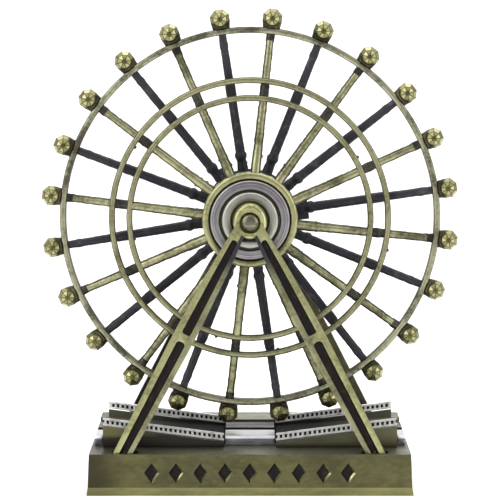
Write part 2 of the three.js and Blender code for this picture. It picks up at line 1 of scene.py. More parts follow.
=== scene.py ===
import math
import random
from functools import partial

import bmesh
import bpy
from mathutils import Matrix, Vector


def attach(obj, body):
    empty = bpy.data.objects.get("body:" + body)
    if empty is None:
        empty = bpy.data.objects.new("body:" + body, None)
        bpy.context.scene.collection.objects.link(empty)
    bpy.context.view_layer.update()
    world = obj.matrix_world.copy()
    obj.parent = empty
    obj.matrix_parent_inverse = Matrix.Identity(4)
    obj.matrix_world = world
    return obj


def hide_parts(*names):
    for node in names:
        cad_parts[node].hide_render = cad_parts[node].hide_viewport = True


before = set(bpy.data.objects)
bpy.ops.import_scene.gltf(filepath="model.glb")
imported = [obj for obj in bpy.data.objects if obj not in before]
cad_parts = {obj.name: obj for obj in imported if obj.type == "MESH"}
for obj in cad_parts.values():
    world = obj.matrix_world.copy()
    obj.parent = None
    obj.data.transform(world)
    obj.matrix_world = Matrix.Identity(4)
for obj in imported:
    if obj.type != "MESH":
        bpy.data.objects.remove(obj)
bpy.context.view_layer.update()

MM = 0.001
FLAT = 0.97  # a face whose normal's part along an axis is over this looks that way

# Sizes of the model, in millimetres. X runs along the base, Y to the back and Z up.
AXLE_HEIGHT = 70.9
SEAT_GAP = 0.3

RIM_INNER = 49.15
RIM_OUTER = 50.85
RIM_MIDDLE = (RIM_INNER + RIM_OUTER) / 2
RIM_HALF_DEPTH = 1.7
RING_RADII = (36.8, 32.1)
RING_HALF_WIDTH = 0.8
RING_DEPTH = 1.5

SPOKE_PAIRS = 12
STUB_START = 47.5  # the last part of a front spoke is dark
FIRST_SPOKE = 6.4  # degrees clockwise from the top, seen from the front
SPOKE_ROOT = 11.4
SPOKE_END = 49.4
SPOKE_STEPS = 56  # a little under 0.7 mm each
SPOKE_RIM_WIDTH = 1.8
SPOKE_HUB_WIDTH = 2.3
SPOKE_RIM_OFFSET = 0.3
SPOKE_HUB_OFFSET = 5.0
# Where a spoke is wider than its taper: the radius, how far that reaches and the extra share
FRONT_SWELLS = ((36, 60, 0.16), (15.5, 4.0, 0.08), (34.45, 2.4, 0.15), (48.6, 1.8, 0.2))
REAR_SWELLS = (
    (38, 60, 0.2), (12.3, 2.4, 0.1), (16.6, 0.8, 0.3), (34.4, 2.6, 0.25), (46.5, 0.9, 0.12),
)
# Casting flash: how many crumbs cling to the root of each spoke in turn
FRONT_CRUMBS = (1, 4, 0, 2, 1, 2, 1, 3, 0, 1, 3, 2)
REAR_CRUMBS = (2, 1, 1, 0, 1, 0, 2, 1, 0, 1, 0, 1)
CRUMB_RADII = (14.2, 18.5)
CRUMB_SIZES = (0.3, 0.5)
# Angle clockwise from the top seen from the front, half width, outer radius
GATE_STUBS = ((83, 2.7, 15.8), (-28, 1.7, 15.0), (-66, 1.5, 14.9), (-95, 2.1, 15.8))
FLANGE_RADIUS = 12.7
FLANGE_RECESS_RADIUS = 10.7
FLANGE_FRONT = 6.6
FLANGE_BACK = 3.6
FLANGE_RECESS = 0.8
FLANGE_INNER = 4.9
BARREL_RADIUS = 4.6
BARREL_REACH = 5.5
DISC_RADIUS = 10.58
DISC_BACK = 6.1
DISC_LAND = 7.3
DISC_FRONT = 8.2
DISC_RING_RADIUS = 7.5
DISC_GROOVE_RADIUS = 8.1
DISC_GROOVE_FLOOR = 7.0
DISC_WELL_RADIUS = 4.95
DISC_WELL_FLOOR = 7.4

CAPSULE_RADIUS = 2.85
CAPSULE_CENTRE = 53.3
BALL_ROWS = ((0.22, 0.91), (0.66, 0.72), (0.98, 0.18))  # shares of the radius: across, forward
FACET_ANGLE = 45
EDGE_FACE_AREA = 0.25  # square millimetres; the eased edges between the facets are smaller
CLAW_BOTTOM_RADIUS = 2.3
CLAW_TOP_RADIUS = 2.62
CLAW_TOP = -0.35  # from the ball's middle
CLAW_HALF_WIDTH = 0.9  # there; the claws get wider downwards

PIN_RADIUS = 1.7
BORE_RADIUS = 1.79
PIN_HEAD_HEIGHT = 1.1
# Radii of the domed head, and the share of its height there
DOME = ((0, 1.0), (0.6, 0.98), (1.15, 0.9), (1.65, 0.74), (2.1, 0.52), (2.4, 0.28), (2.5, 0.0))
SPACER_RADIUS = 4.1
BOSS_RADIUS = 4.1
BOSS_SPREAD = 1.08  # the cast boss is a little larger than the turned face behind it
BOSS_RISE = 1.15  # the upper half of the boss is this much taller than a round one
BOSS_FRONT = 14.0
BOSS_BACK = 11.0
BOSS_MIDDLE = (BOSS_FRONT + BOSS_BACK) / 2
COUNTERBORE_RADIUS = 2.7
COUNTERBORE_DEPTH = 1.5

APEX_RISE = 2.0  # of the point where the legs' middle lines meet, above the axle
LEG_WIDTHS = ((3, 3.1), (16, 4.8), (36, 5.9), (72, 4.5))  # length from the apex, width there
LEG_THICKNESS = 3.0
FOOT_SPREAD = 32.8
FOOT_OFFSET = 18.0
FOOT_SINK = 0.5
TENON_RADIUS = 1.5
SCREW_HEAD_RADIUS = 1.6
SCREW_SHANK_RADIUS = 0.65
CHANNEL_SHARE = 0.42  # of the leg's width
CHANNEL_SHIFT = 0.1  # towards the inner side of the leg
LEG_OFFSETS = {-1: -0.45, 1: 0.05}  # along the base, of each frame's left and right leg
CHANNEL_DEPTH = 0.9
CHANNEL_START = 7.5
BRIDGE_DISTANCE = 36.4
BRIDGE_LENGTH = 2.2
BOSS_REACH = 5.5  # length from the apex at which a leg comes out from under the boss
INNER_LINE = 0.9  # from a leg's middle line to the inner bar where the channel begins
WEB_HALF_WIDTH = 2.2
WEB_DROP = 5.0
WEB_THICKNESS = 1.6

BASE_HALF_WIDTH = 42.1
BASE_HALF_DEPTH = 21.0
BASE_END_FLARE = 0.7
BASE_SIDE_FLARE = 0.5
BAND_HEIGHT = 2.1
PLINTH_TOP = 10.9
LAND_TOP = 14.0
LAND_INSET = 0.8
LAND_FRONT = 12.5
CAVITY_TOP = 8.3
WALL = 2.0
PAD_THICKNESS = 1.0
LEFT_END = ("X", -38, -24)  # where the base's stain is full, and where it ends

LOZENGE_COUNT = 9
LOZENGE_SPAN = 56.0
LOZENGE_WIDTH = 4.6
LOZENGE_HEIGHT = 6.4
LOZENGE_ROW = 6.0
LOZENGE_DEPTH = 0.5
LOZENGE_FLOOR = 0.62  # size of the floor, as a share
LOZENGE_FIELD = (31, 2.2, 9.8)  # half length, bottom and top of the field that holds the row

PLATE_HALF_DEPTH = 9.6
PLATFORM_HALF_WIDTH = 6.6
PLATFORM_HEIGHT = 2.6
PLATE_WEB = 0.4
PLATE_ROUNDING = 1.1  # of the front edge
STEP_PLACES = (7.2, 5.0, 3.2)  # of the fine steps on the rear bed
STEP_DEPTH = 0.22
GROOVE_HALF_WIDTH = 1.6
GROOVE_DEPTH = 1.7

RAMP_INNER = 6.9
RAMP_OUTER = 39.0
RAMP_HALF_DEPTH = 12.2
RAMP_WALL = 1.0
RAMP_INNER_HEIGHT = 1.45
RAMP_OUTER_HEIGHT = 5.6
RAMP_INNER_FLOOR = 1.2
RAMP_OUTER_FLOOR = 3.6
RAIL_HEIGHT = 2.0
RAIL_THICKNESS = 0.8
RAIL_WEB = 0.3
RAIL_BAR = 0.56
RAIL_PITCH = 1.28
POST_WIDTH = 0.72

LEG_DROP = AXLE_HEIGHT + APEX_RISE - PLINTH_TOP
LEAN = math.atan((FOOT_OFFSET - BOSS_MIDDLE) / LEG_DROP)
SPLAY = math.atan(FOOT_SPREAD / math.hypot(LEG_DROP, FOOT_OFFSET - BOSS_MIDDLE))
LEG_LENGTH = math.hypot(LEG_DROP, FOOT_OFFSET - BOSS_MIDDLE, FOOT_SPREAD)


# Modelling


def mm(*values):
    """A point or a size given in millimetres, in metres."""
    return Vector(values) * MM


def activate(piece):
    bpy.ops.object.select_all(action="DESELECT")
    piece.select_set(True)
    bpy.context.view_layer.objects.active = piece


def settle(piece):
    """Moves the piece's place, turn and size into its mesh."""
    activate(piece)
    bpy.ops.object.transform_apply(location=True, rotation=True, scale=True)
    return piece


def add_primitive(name, operator, **settings):
    """Adds one of Blender's primitives, with nothing else selected."""
    bpy.ops.object.select_all(action="DESELECT")
    operator(**settings)
    piece = bpy.context.object
    piece.name = piece.data.name = name
    return settle(piece)


def open_edit(piece, kind="FACE"):
    activate(piece)
    bpy.ops.object.mode_set(mode="EDIT")
    bpy.ops.mesh.select_mode(type=kind)
    bpy.ops.mesh.select_all(action="SELECT")


def close_edit():
    bpy.ops.mesh.select_all(action="SELECT")
    bpy.ops.mesh.remove_doubles(threshold=1e-6)
    bpy.ops.mesh.normals_make_consistent(inside=False)
    bpy.ops.object.mode_set(mode="OBJECT")


def pick_faces(piece, test):
    """Selects, in edit mode, the faces whose middle and normal pass the test."""
    mesh = bmesh.from_edit_mesh(piece.data)
    bpy.ops.mesh.select_mode(type="FACE")
    bpy.ops.mesh.select_all(action="DESELECT")
    for face in mesh.faces:
        face.select_set(test(face.calc_center_median() / MM, face.normal))
    bmesh.update_edit_mesh(piece.data)


def draw_line(name, points):
    """A chain of edges through the points, left in edit mode with its last vertex selected."""
    piece = add_primitive(name, bpy.ops.mesh.primitive_plane_add, size=MM, location=points[0])
    open_edit(piece, "VERT")
    bpy.ops.mesh.merge(type="CENTER")
    for start, end in zip(points, points[1:]):
        step = Vector(end) - Vector(start)
        bpy.ops.mesh.extrude_region_move(TRANSFORM_OT_translate={"value": step})
    return piece


def turned(name, profile, steps):
    """A solid of revolution about Y through the origin, from [radius, y] points."""
    points = [mm(radius, y, 0) for radius, y in [*profile, profile[0]]]
    piece = draw_line(name, points)
    bpy.ops.mesh.select_all(action="SELECT")
    bpy.ops.mesh.spin(steps=steps, angle=2 * math.pi, center=(0, 0, 0), axis=(0, 1, 0))
    close_edit()
    return piece


def slab(name, outline, push):
    """A flat outline that is drawn, filled and pushed out to a solid."""
    piece = draw_line(name, outline)
    bpy.ops.mesh.select_all(action="SELECT")
    bpy.ops.mesh.edge_face_add()
    bpy.ops.mesh.extrude_region_move(TRANSFORM_OT_translate={"value": push})
    close_edit()
    return piece


def slab_y(name, points, y_from, y_to):
    """A slab from an outline of [x, z] points."""
    return slab(name, [mm(x, y_from, z) for x, z in points], mm(0, y_to - y_from, 0))


def slab_x(name, points, x_from, x_to):
    """A slab from an outline of [y, z] points."""
    return slab(name, [mm(x_from, y, z) for y, z in points], mm(x_to - x_from, 0, 0))


def block(name, low, high):
    """A block between its lowest and its highest corner."""
    size = Vector(high) - Vector(low)
    middle = (Vector(high) + Vector(low)) / 2
    cube = bpy.ops.mesh.primitive_cube_add
    return add_primitive(name, cube, size=1, location=middle * MM, scale=size * MM)


def block_about_z(name, half_x, half_y, low, high):
    """A block about the Z axis between two heights."""
    return block(name, (-half_x, -half_y, low), (half_x, half_y, high))


def rod_z(name, radius, x, y, low, high, steps=32):
    """An upright rod between two heights."""
    return add_primitive(
        name,
        bpy.ops.mesh.primitive_cylinder_add,
        vertices=steps,
        radius=radius * MM,
        depth=(high - low) * MM,
        location=mm(x, y, (low + high) / 2),
    )


def bisect(piece, place, normal, cut_off=False):
    """Draws edges where a plane meets the piece, or cuts off what lies where its normal points."""
    open_edit(piece)
    bpy.ops.mesh.bisect(
        plane_co=mm(*place), plane_no=normal, use_fill=cut_off, clear_outer=cut_off
    )
    close_edit()


def apply_modifier(piece, kind, **settings):
    activate(piece)
    modifier = piece.modifiers.new(kind.lower(), kind)
    for key, value in settings.items():
        setattr(modifier, key, value)
    bpy.ops.object.modifier_apply(modifier=modifier.name)
    return piece


def combine(piece, other, operation):
    """Cuts the piece by another solid or joins them, each keeping the finish of its own faces."""
    apply_modifier(
        piece,
        "BOOLEAN",
        operation=operation,
        object=other,
        solver="EXACT",
        material_mode="TRANSFER",
    )
    bpy.data.objects.remove(other)


def cut(piece, *tools):
    for tool in tools:
        combine(piece, tool, "DIFFERENCE")
    return piece


def weld(piece, *others):
    for other in others:
        combine(piece, other, "UNION")
    return piece


def ease_edges(piece, width, segments=2, angle=30):
    """Rounds every edge sharper than the angle, as a casting's or a ground part's edges are."""
    return apply_modifier(
        piece,
        "BEVEL",
        width=width * MM,
        segments=segments,
        limit_method="ANGLE",
        angle_limit=math.radians(angle),
        use_clamp_overlap=True,
    )


def join(name, pieces):
    activate(pieces[0])
    for piece in pieces[1:]:
        piece.select_set(True)
    if len(pieces) > 1:
        bpy.ops.object.join()
    whole = bpy.context.object
    whole.name = whole.data.name = name
    return whole


def copy_of(piece, name):
    twin = piece.copy()
    twin.data = piece.data.copy()
    twin.name = twin.data.name = name
    bpy.context.scene.collection.objects.link(twin)
    return twin


def placed(piece, location=(0, 0, 0), turn_y=0.0, turn_z=0.0):
    """Turns the piece about the origin, moves it and settles it there."""
    piece.matrix_world = (
        Matrix.Translation(mm(*location))
        @ Matrix.Rotation(turn_z, 4, "Z")
        @ Matrix.Rotation(turn_y, 4, "Y")
    )
    return settle(piece)


def cast_unevenness(piece, strength, grain):
    """Lumps and hollows that a worn mould leaves, of a depth and a spacing in millimetres."""
    clouds = bpy.data.textures.new(piece.name + "_lumps", "CLOUDS")
    clouds.noise_scale = grain * MM
    clouds.noise_depth = 2
    return apply_modifier(
        piece,
        "DISPLACE",
        texture=clouds,
        texture_coords="LOCAL",
        strength=strength * MM,
        mid_level=0.5,
    )


def paint(piece, material, recess=None, in_recess=None):
    """Gives the piece its finish, and the faces that pass in_recess the finish of its recesses."""
    piece.data.materials.clear()
    piece.data.materials.append(material)
    if recess is not None:
        piece.data.materials.append(recess)
    for face in piece.data.polygons:
        face.material_index = int(bool(recess and in_recess(face.center / MM, face.normal)))


def add_paint(piece, material, test):
    """Gives one more finish to the faces that pass the test."""
    piece.data.materials.append(material)
    last = len(piece.data.materials) - 1
    for face in piece.data.polygons:
        if test(face.center / MM, face.normal):
            face.material_index = last


def finish(piece, body, nodes, smooth=35):
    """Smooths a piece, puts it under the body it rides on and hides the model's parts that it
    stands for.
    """
    activate(piece)
    bpy.ops.object.shade_smooth_by_angle(angle=math.radians(smooth))
    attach(piece, body)
    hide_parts(*nodes)
    return piece


def finish_at_axle(piece, body, node, turn_z=0.0, smooth=35):
    """Raises a piece that was made about the origin to the axle, and finishes it."""
    placed(piece, (0, 0, AXLE_HEIGHT), turn_z=turn_z)
    return finish(piece, body, [node], smooth)


# Finishes
#
# The model is a zinc die casting. Most of it is plated in antique bronze, the rear spokes and the
# recesses are blackened, and the plate, the hub discs and the railings are silver.

TIMES = {"operation": "MULTIPLY"}
PLUS = {"operation": "ADD"}
SMOOTH = {"interpolation_type": "SMOOTHSTEP"}
MIX = {"output": 2, "data_type": "RGBA", "clamp_factor": True}  # inputs 6 and 7 are the colours


def linear(code):
    """An sRGB hex colour as linear RGBA."""
    channels = [int(code[i : i + 2], 16) / 255 for i in (1, 3, 5)]
    curve = [c / 12.92 if c <= 0.04045 else ((c + 0.055) / 1.055) ** 2.4 for c in channels]
    return (*curve, 1.0)


def add_node(tree, kind, inputs=None, output=0, **settings):
    """Adds a node and gives back one of its outputs. An input is a value or such an output."""
    node = tree.nodes.new("ShaderNode" + kind)
    for key, value in settings.items():
        setattr(node, key, value)
    for key, value in (inputs or {}).items():
        if isinstance(value, bpy.types.NodeSocket):
            tree.links.new(value, node.inputs[key])
        else:
            node.inputs[key].default_value = value
    return node.outputs[output] if node.outputs else node


def new_material(name):
    """A material without nodes, and add_node for its tree."""
    material = bpy.data.materials.new(name)
    material.use_nodes = True
    material.node_tree.nodes.clear()
    return material, partial(add_node, material.node_tree)


def surface(add, share, under, over, relief=None, depth=0.0, tint=None, **inputs):
    """An opaque surface: under where the share is 0 and over where it is 1, with the relief of a
    pattern, its depth in millimetres. A tint holds the inputs of a second mix: its share, and a
    colour for where that is 0 (6) or 1 (7). The surface's own colour takes the other place. Other
    inputs are named as the shader's."""
    color = add("Mix", {0: share, 6: linear(under), 7: linear(over)}, **MIX)
    if tint:
        color = add("Mix", {6: color, 7: color, **tint}, **MIX)
    if relief:
        inputs["Normal"] = add("Bump", {"Height": relief, "Distance": depth * MM})
    shader = add("BsdfPrincipled", {"Base Color": color, **inputs})
    add("OutputMaterial", {"Surface": shader})


def lumps(add, spacing, detail=3.0, stretch=(1, 1, 1)):
    """A pattern of lumps about spacing millimetres apart, drawn out along an axis by stretch."""
    place = add("TexCoord", output="Object")
    drawn_out = add("Mapping", {"Vector": place, "Scale": tuple(1 / s for s in stretch)})
    inputs = {"Vector": drawn_out, "Scale": 1 / (spacing * MM), "Detail": detail}
    return add("TexNoise", inputs, "Fac")


def sum_of(add, *patterns):
    """The sum of two patterns, each given with its share."""
    first, second = (add("Math", {0: value, 1: share}, **TIMES) for value, share in patterns)
    return add("Math", {0: first, 1: second}, **PLUS)


def from_middle(add):
    """The distance along X from the middle of the base."""
    x = add("SeparateXYZ", {0: add("TexCoord", output="Object")}, "X")
    return add("Math", {0: x}, operation="ABSOLUTE")


def rubbed_share(add, pattern, rub, reach, corner):
    """1 where hands and cloths rub the finish: on open faces, in patches that follow the pattern.
    It is 0 in corners, which are seen over reach millimetres."""
    open_share = add(
        "AmbientOcclusion", {"Distance": reach * MM}, "AO", samples=8, only_local=True
    )
    open_faces = add(
        "MapRange", {"Value": open_share, "From Min": corner, "From Max": 0.95}, **SMOOTH
    )
    patches = add("MapRange", {"Value": pattern, "From Min": rub[0], "From Max": rub[1]}, **SMOOTH)
    return add("Math", {0: open_faces, 1: patches}, **TIMES)


def bronze(name, bright, patina, rub, rough, streaks=(1, 1, 1), stain=None):
    """Antique bronze plating: brown-green patina that stays in corners and pores, rubbed back to a
    paler and smoother metal on open faces, on a cast skin with fine pits. A stain is an axis, where
    along it the stain is full and where it ends, in millimetres, and its colour."""
    material, add = new_material(name)
    wide = lumps(add, 7.0, 2.0, streaks)
    fine = lumps(add, 0.9, 4.0, streaks)
    rubbed = rubbed_share(add, sum_of(add, (wide, 0.6), (fine, 0.4)), rub, 1.6, 0.45)
    tint = None
    if stain:
        axis, full, end, color = stain
        along = add("SeparateXYZ", {0: add("TexCoord", output="Object")}, axis)
        # The stain's edge runs to and fro over 8 mm
        ragged = add("Math", {0: along, 1: add("Math", {0: wide, 1: 8 * MM}, **TIMES)}, **PLUS)
        reach = {"Value": ragged, "From Min": full * MM, "From Max": end * MM}
        tint = {0: add("MapRange", reach, **SMOOTH), 6: linear(color)}
    pits = add("Math", {0: lumps(add, 0.35, 3.0), 1: fine}, **PLUS)
    roughness = add("MapRange", {"Value": rubbed, "To Min": rough[1], "To Max": rough[0]})
    surface(add, rubbed, patina, bright, pits, 0.03, tint, Metallic=1.0, Roughness=roughness)
    return material


def silver(name, bright, tarnish, rub, rough):
    """Silver plating over the casting: bright and smooth where it is polished, grey tarnish in the
    corners, with short polishing strokes along X, 0.5 mm apart."""
    material, add = new_material(name)
    strokes = lumps(add, 0.5, 3.0, (9, 1, 1))
    mixed = sum_of(add, (lumps(add, 5.0, 2.0), 0.5), (strokes, 0.5))
    polished = rubbed_share(add, mixed, rub, 1.0, 0.4)
    roughness = add("MapRange", {"Value": polished, "To Min": rough[1], "To Max": rough[0]})
    surface(add, polished, tarnish, bright, strokes, 0.015, Metallic=1.0, Roughness=roughness)
    return material


def shaded_ramp_bronze(name, bright, shade_color, least, foot):
    """Antique bronze of the ramps' outer walls, with painted shade: dark towards the middle of the
    base and over the height of the foot, where shade falls, and lighter elsewhere."""
    material, add = new_material(name)
    # Painted shade: lighter towards the ends of the base and above the foot, dark elsewhere
    span = {"From Min": 0.35 * RAMP_OUTER * MM, "From Max": RAMP_OUTER * MM}
    near_end = add("MapRange", {"Value": from_middle(add), **span}, **SMOOTH)
    lit_towards_ends = add("Math", {0: add("Math", {0: near_end, 1: 0.6}, **TIMES), 1: 0.4}, **PLUS)
    z = add("SeparateXYZ", {0: add("TexCoord", output="Object")}, "Z")
    span = {"From Min": (PLINTH_TOP + foot[0]) * MM, "From Max": (PLINTH_TOP + foot[1]) * MM}
    clean = add("Math", {0: add("MapRange", {"Value": z, **span}, **SMOOTH), 1: lit_towards_ends}, **TIMES)
    clouds = add("Math", {0: lumps(add, 1.6, 3.0, (2, 1, 1)), 1: 0.3}, **TIMES)
    cloudy = add("Math", {0: clean, 1: clouds}, **PLUS)
    rubbed = add("MapRange", {"Value": cloudy, "From Min": least, "From Max": 1.05}, **SMOOTH)
    pits = lumps(add, 0.5, 3.0)
    surface(add, rubbed, shade_color, bright, pits, 0.03, Metallic=0.9, Roughness=0.48)
    return material


def painted_silver(name, bright, dull):
    """Aluminium paint: fine metal flakes in a binder, which stay light from every side, with a
    slight orange-peel texture about 0.5 mm apart and duller spots."""
    material, add = new_material(name)
    spots = {"Value": lumps(add, 1.8, 3.0), "From Min": 0.3, "From Max": 0.55}
    clean = add("MapRange", spots, **SMOOTH)
    peel = lumps(add, 0.5, 2.0)
    surface(add, clean, dull, bright, peel, 0.02, Metallic=0.45, Roughness=0.38)
    return material


def turned_silver(name, bright, tarnish):
    """Silver-plated disc faced on a lathe: rings of fine tool marks about 0.35 mm apart round the
    axle, which break its reflections up, and a grey tarnish that varies from ring to ring."""
    material, add = new_material(name)
    place = add("TexCoord", output="Object")
    about = add("VectorMath", {0: place, 1: (0, 0, AXLE_HEIGHT * MM)}, operation="SUBTRACT")
    flat = add("VectorMath", {0: about, 1: (1, 0, 1)}, **TIMES)
    radius = add("VectorMath", {0: flat}, "Value", operation="LENGTH")
    rings = {"W": radius, "Scale": 1 / (0.35 * MM), "Detail": 2.0}
    marks = add("TexNoise", rings, "Fac", noise_dimensions="1D")
    mixed = sum_of(add, (marks, 0.7), (lumps(add, 2.5, 3.0), 0.3))
    polished = add("MapRange", {"Value": mixed, "From Min": 0.3, "From Max": 0.7}, **SMOOTH)
    surface(add, polished, tarnish, bright, marks, 0.04, Metallic=1.0, Roughness=0.32)
    return material


def black_patina(name, color, worn, roughness, grain, metallic=0.85, ends=None):
    """Blackened casting: a sooty, slightly glossy skin, grey where it is knocked. With ends, it
    turns to that colour towards both ends of the base."""
    material, add = new_material(name)
    skin = lumps(add, grain, 4.0)
    knocks = {"Value": lumps(add, 2.4, 3.0), "From Min": 0.52, "From Max": 0.78}
    knocked = add("MapRange", knocks, **SMOOTH)
    tint = None
    if ends:
        # Full near both ends, gone 16 mm from the middle
        span = {"Value": from_middle(add), "From Min": 16 * MM, "From Max": 36 * MM}
        tint = {0: add("MapRange", span, **SMOOTH), 7: linear(ends)}
    uneven = {"Value": skin, "To Min": roughness - 0.1, "To Max": roughness + 0.1}
    gloss = {"Metallic": metallic, "Roughness": add("MapRange", uneven)}
    surface(add, knocked, color, worn, skin, 0.05, tint, **gloss)
    return material


def felt(name, deep, light):
    """Pressed wool felt: matt and dark, with short crossing fibres about 0.4 mm apart."""
    material, add = new_material(name)
    fibres = lumps(add, 0.4, 5.0, (4, 1, 1))
    nap = {"Roughness": 0.95, "Sheen Weight": 0.3}
    surface(add, fibres, deep, light, fibres, 0.15, **nap)
    return material


def paper(name, color):
    """Matt backdrop paper, in clouds 220 mm apart that are 1.5% darker."""
    material, add = new_material(name)
    light = linear(color)
    dark = (*(c * 0.985 for c in light[:3]), 1.0)
    clouds = add("Mix", {0: lumps(add, 220.0, 2.0), 6: dark, 7: light}, **MIX)
    shader = add("BsdfPrincipled", {"Base Color": clouds, "Roughness": 0.85})
    add("OutputMaterial", {"Surface": shader})
    return material


# Pale brassy bars and spokes, the parts that hands reach
leg_bronze = bronze("leg_bronze", "#b3b283", "#6b6946", (0.25, 0.6), (0.3, 0.45))
flange_bronze = bronze("flange_bronze", "#a19f76", "#65633f", (0.25, 0.6), (0.34, 0.46))
spoke_bronze = bronze("spoke_bronze", "#a09e7c", "#57553f", (0.34, 0.64), (0.32, 0.5))
# The legs' inner bars: nearly as pale as the outer bars, a little darker as painted shade, and
# darker still just under the boss as a painted shadow
shadow_under_boss = ("Z", AXLE_HEIGHT - 5, AXLE_HEIGHT - 12, "#46444a")
inner_bar_shade_bronze = bronze(
    "inner_bar_shade_bronze", "#a09e7b", "#5d5b44", (0.25, 0.65), (0.32, 0.48), stain=shadow_under_boss
)
# Thin rings and rim: a little darker, with more patina in patches
ring_bronze = bronze("ring_bronze", "#959372", "#55533d", (0.25, 0.65), (0.32, 0.48))
rim_bronze = bronze("rim_bronze", "#9c9a80", "#4f4d40", (0.35, 0.62), (0.32, 0.48))
# Painted shade on side faces and in the gaps round the hub: dark and dull. Also dark and dull:
# the front spokes' stretches between the rings, which cloths miss, their ends at the rim, and the
# capsules' claws
side_shade_bronze = bronze("side_shade_bronze", "#636149", "#35342a", (0.3, 0.7), (0.36, 0.5))
gap_bronze = bronze("gap_bronze", "#4f4d44", "#2b2a28", (0.4, 0.75), (0.4, 0.55))
claw_bronze = bronze("claw_bronze", "#5c5942", "#2f2d23", (0.4, 0.75), (0.4, 0.55))
# Four copies of one bronze that paint light and shade on the capsules' facets: lit facets, and
# painted shade on every other facet and the belt, on the middle facets and on the eased edges
capsule_lit_bronze = bronze("capsule_lit_bronze", "#a8a57c", "#716e48", (0.2, 0.55), (0.34, 0.45))
capsule_shade = bronze("capsule_shade", "#87845a", "#55533a", (0.2, 0.55), (0.36, 0.45))
capsule_middle_shade = bronze("capsule_middle_shade", "#78743f", "#55512c", (0.2, 0.55), (0.36, 0.45))
capsule_edge_shade = bronze("capsule_edge_shade", "#5d5a3c", "#403d28", (0.2, 0.55), (0.36, 0.5))
# The base: dull olive sides, a foot band painted brighter as a highlight and a top painted
# greyer and lighter as a reflection, all darker at the left end
base_bronze = bronze(
    "base_bronze", "#676445", "#4f4d37", (0.3, 0.7), (0.4, 0.5), (2, 1, 1), LEFT_END + ("#3d3a2b",)
)
band_highlight_bronze = bronze(
    "band_highlight_bronze", "#8f8d5f", "#73714c", (0.3, 0.7), (0.36, 0.46), (4, 1, 1),
    LEFT_END + ("#6d6a48",),
)
top_reflection_bronze = bronze(
    "top_reflection_bronze", "#868675", "#636353", (0.3, 0.7), (0.4, 0.5), (2, 1, 1), LEFT_END + ("#55534a",)
)
# The rear frame where it looks at the wheel: painted shade, dull, and nearly black on its right
# half
right_half = ("X", -8, 6, "#2c2b2b")
rear_frame_shade_bronze = bronze(
    "rear_frame_shade_bronze", "#64614a", "#4c4a38", (0.3, 0.7), (0.45, 0.6), stain=right_half
)
# The ramps' walls, with painted shade: the left ramp is painted darker than the right one
ramp_bronze = shaded_ramp_bronze("ramp_bronze", "#605e48", "#403e33", 0.2, (-0.6, 1.6))
deeper_shade_ramp_bronze = shaded_ramp_bronze("deeper_shade_ramp_bronze", "#605d40", "#35322c", 0.55, (0.8, 4.0))
# Matt black in the recesses: patina in the legs' channels and the lozenges, painted shade in the
# plate's groove, in the sockets round the feet and on the web under the boss. The trays' black,
# lighter towards the ends, and the rear spokes' smoother bluish black
recess_black = black_patina("recess_black", "#23201e", "#342f29", 0.6, 0.6)
tray_black = black_patina("tray_black", "#0c0b0b", "#181715", 0.9, 1.2, 0.3, "#4c4a3a")
spoke_black = black_patina("spoke_black", "#37363b", "#514f55", 0.5, 0.8)
# The plate, in shaded and lit copies of one silver: a painted reflection makes it bright on top,
# and painted shade makes it grey at its front edge and duller on the rear bed
plate_top_reflection_silver = silver("plate_top_reflection_silver", "#c4c4c6", "#acacae", (0.2, 0.5), (0.44, 0.5))
grey_silver = silver("grey_silver", "#868487", "#5c5a5e", (0.25, 0.65), (0.34, 0.45))
rear_bed_shade_silver = silver("rear_bed_shade_silver", "#616163", "#3f3e40", (0.25, 0.65), (0.34, 0.45))
# Yellowish grey steel of the pin's head, which mirrors the room in a soft spot
pin_steel = silver("pin_steel", "#7f7d6c", "#4a483f", (0.25, 0.6), (0.25, 0.4))
# The railings' paint, in shaded and lit copies: light grey in front as painted shade, nearly white
# behind as painted light
silver_paint = painted_silver("silver_paint", "#bcbcba", "#95948f")
rear_lit_silver_paint = painted_silver("rear_lit_silver_paint", "#e6e6e5", "#b3b2ae")
# The hub discs: grey on the rim, paler on the raised middle
lathe_silver = turned_silver("lathe_silver", "#9b979a", "#686568")
pale_silver = turned_silver("pale_silver", "#b4b4ab", "#8c8c84")
black_felt = felt("black_felt", "#141416", "#34343a")


# Wheel


def spoke_share(radius):
    """0 at the rim and 1 at the edge of the flange."""
    return (RIM_MIDDLE - radius) / (RIM_MIDDLE - FLANGE_RADIUS)


def spoke_offset(radius):
    """How far in front of the wheel's middle plane a front spoke lies at a radius."""
    return SPOKE_RIM_OFFSET + spoke_share(radius) * (SPOKE_HUB_OFFSET - SPOKE_RIM_OFFSET)


def spoke_half_width(radius):
    return (SPOKE_RIM_WIDTH + spoke_share(radius) * (SPOKE_HUB_WIDTH - SPOKE_RIM_WIDTH)) / 2


def make_rim():
    """The outer rim, a cast ring with rounded edges."""
    front, back = -RIM_HALF_DEPTH, RIM_HALF_DEPTH
    low, high = RIM_INNER, RIM_OUTER
    profile = [
        (low + 0.5, front), (high - 0.5, front), (high - 0.22, front + 0.15),
        (high, front + 0.65), (high, back - 0.65), (high - 0.22, back - 0.15), (high - 0.5, back),
        (low + 0.5, back), (low + 0.22, back - 0.15), (low, back - 0.65), (low, front + 0.65),
        (low + 0.22, front + 0.15),
    ]
    rim = turned("rim_casting", profile, 288)
    cast_unevenness(rim, 0.08, 4.0)
    # The faces that look towards or away from the axle get painted shade
    paint(rim, rim_bronze, side_shade_bronze, on_edge)
    finish_at_axle(rim, "wheel", "outer_rim")


def on_edge(at, normal):
    """Tells the faces that look towards the axle or away from it."""
    outward = Vector((at.x, 0, at.z)).normalized()
    return abs(normal.dot(outward)) > 0.7


